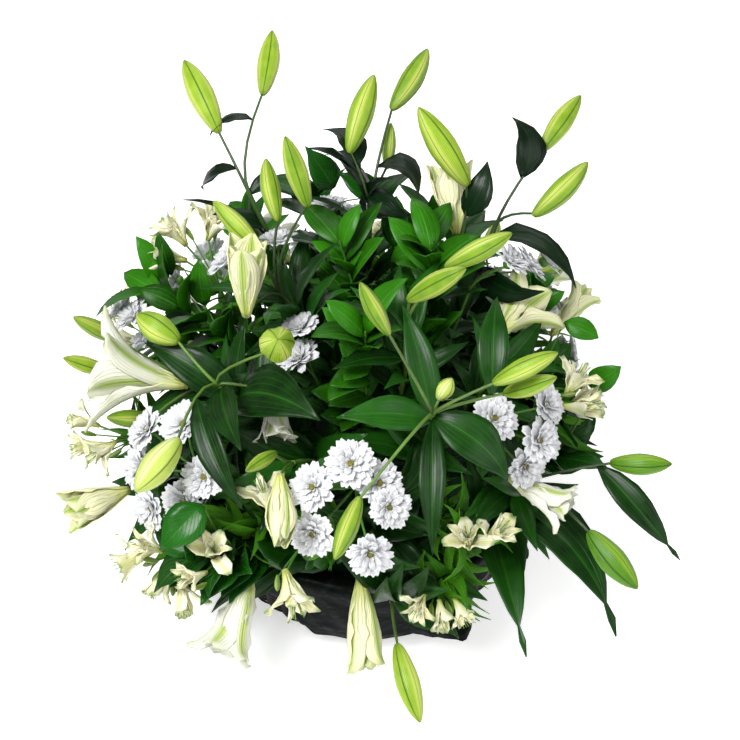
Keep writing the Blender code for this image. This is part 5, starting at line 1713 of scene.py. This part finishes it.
def inner_film(degrees):
    """The radius and height of the film at a turn, from the floor's middle up the wall and over the border."""
    spoke, a = direction(degrees, 0), math.radians(degrees)
    places = [(r, FLOOR_HEIGHT + FLOOR_RELIEF * (1 + crease(r * spoke, FLOOR_CREASES))) for r in FLOOR_RADII]
    places.append((LOW_RADIUS - 0.002, FLOOR_HEIGHT + 0.0006))
    fluted = FLUTE_DEPTH * math.sin(FLUTES * a + 2 * math.sin(3 * a))
    for share in (0.12, 0.35, 0.6, 0.85, 1.0):
        radius = LOW_RADIUS + (TOP_RADIUS - LOW_RADIUS) * share + share * (1 - share) * fluted
        places.append((radius, WALL_FOOT + (WALL_TOP - WALL_FOOT) * share))
    places += [(TOP_RADIUS + 0.0008, FOLD_HEIGHT - 0.006), (TOP_RADIUS + 0.004, FOLD_HEIGHT - 0.0008)]
    places += [(0.5 * (TOP_RADIUS + FOLD_RADIUS), FOLD_HEIGHT), (FOLD_RADIUS - 0.003, FOLD_HEIGHT - 0.0006)]
    return places


def film_skirt(degrees):
    """The radius and height of the film at a turn, from the border down to its edge."""
    spoke, a = direction(degrees, 0), math.radians(degrees)
    out, down = skirt_at(degrees)
    gather = 0.0036 * math.sin(11 * a + 1.3 * math.sin(2 * a)) + 0.0018 * math.sin(29 * a + 2 * math.sin(5 * a))
    calm = 1 - 0.85 * swell(degrees, FRONT_TURN, CALM_HALF)
    places = []
    for row in range(1, SKIRT_ROWS + 1):
        share = row / SKIRT_ROWS
        radius = FOLD_RADIUS + (SKIRT_RADIUS - FOLD_RADIUS) * share**0.5 + (out - SKIRT_RADIUS) * share**1.3
        ridge = crease(radius * spoke + (FOLD_HEIGHT - down * share) * UP, SKIRT_CREASES)
        wrinkle = WRINKLE * ridge * min(1, 3 * share) * (0.35 + 0.65 * calm)
        radius += max(-0.002, share * (gather * calm + wrinkle) + 0.001)
        places.append((radius, FOLD_HEIGHT - 0.001 - (down - 0.001) * share + 0.002 * share * math.sin(17 * a)))
    return places


print("film: fold at", round(FOLD_HEIGHT, 4), "lowest", round(FILM_LOW.z, 4))

# %% [markdown]
# ## Film liner
# The lines become the sheet's rows of points, with one more point in the middle of the floor. Solidify gives it
# its thickness; the sheet hangs over the border by its own weight.

# %% Film liner
points, faces = [Vector((0, 0, 0.0095))], []
for number in range(FILM_ROUND):
    degrees = 360 * number / FILM_ROUND
    line = inner_film(degrees) + film_skirt(degrees)
    rows = len(line)
    points += [radius * direction(degrees, 0) + height * UP for radius, height in line]
    here, there = 1 + number * rows, 1 + (number + 1) % FILM_ROUND * rows
    faces.append((0, here, there))
    faces += [(here + row, here + row + 1, there + row + 1, there + row) for row in range(rows - 1)]
sheet = bpy.data.meshes.new("film_liner.sheet")
sheet.from_pydata(points, [], faces)
sheet.materials.append(black_film)
film = linked("film_liner.sheet", sheet)
applied(film, "SOLIDIFY", thickness=0.0004, offset=0)
bpy.ops.object.shade_smooth()
settle(film, "film_liner")
print("film:", len(film.data.polygons), "faces, area", round(sum(p.area for p in film.data.polygons) / 2, 3))

# %% [markdown]
# ## Floor and light
# The basket stands on a plain white floor under soft studio light: one big lamp from above and the left, a
# weaker one from the right, a low one in front for the shaded side of the dome, and a white surround. A curved
# backdrop would hide the horizon too, but only from one side, so the floor glows a little more with distance
# instead, until it is as bright as the surround.

# %% Floor and light
bpy.ops.object.select_all(action="DESELECT")
bpy.ops.mesh.primitive_plane_add(size=60, location=(0, 0, -0.0005))
floor = bpy.context.object
floor.name = "studio_floor"
paper = Finish("studio paper", Roughness=0.9, Emission_Strength=1.0)
distance = paper.node("ShaderNodeVectorMath", {0: paper.here()}, operation="LENGTH").outputs["Value"]
floor.data.materials.append(paper.feed(
    Base_Color=paper.mix(paper.mottle(3.0, 0.3), (249, 249, 249), (255, 255, 255)),
    Emission_Color=paper.ramp(distance, 1.5, 4.0, 0.50, 0.71),
))

LAMPS = (
    ("key", (-0.9, -0.9, 2.3), 1.1, 80),
    ("fill", (1.7, -1.0, 1.5), 1.5, 18),
    ("front", (0.1, -2.2, 0.9), 1.6, 10),
    ("back", (0.3, 2.0, 1.9), 1.8, 22),
)
for name, place, size, power in LAMPS:
    aim = Vector((0, 0, 0.25)) - Vector(place)
    bpy.ops.object.light_add(type="AREA", location=place, rotation=aim.to_track_quat("-Z", "Y").to_euler())
    lamp = bpy.context.object
    lamp.name = f"{name}_lamp"
    lamp.data.size = size
    lamp.data.energy = power

SURROUND_LIGHT, SURROUND_SEEN = 0.19, 0.9
scene.world = bpy.data.worlds.new("white surround")
scene.world.use_nodes = True
air = Recipe(scene.world.node_tree)
background = air.tree.nodes["Background"].inputs
background["Color"].default_value = (1, 1, 1, 1)
seen = air.node("ShaderNodeLightPath").outputs["Is Camera Ray"]
air.put(background["Strength"], air.ramp(seen, 0.0, 1.0, SURROUND_LIGHT, SURROUND_SEEN))
scene.view_settings.view_transform = "Standard"
print("lamps:", [lamp[0] for lamp in LAMPS])
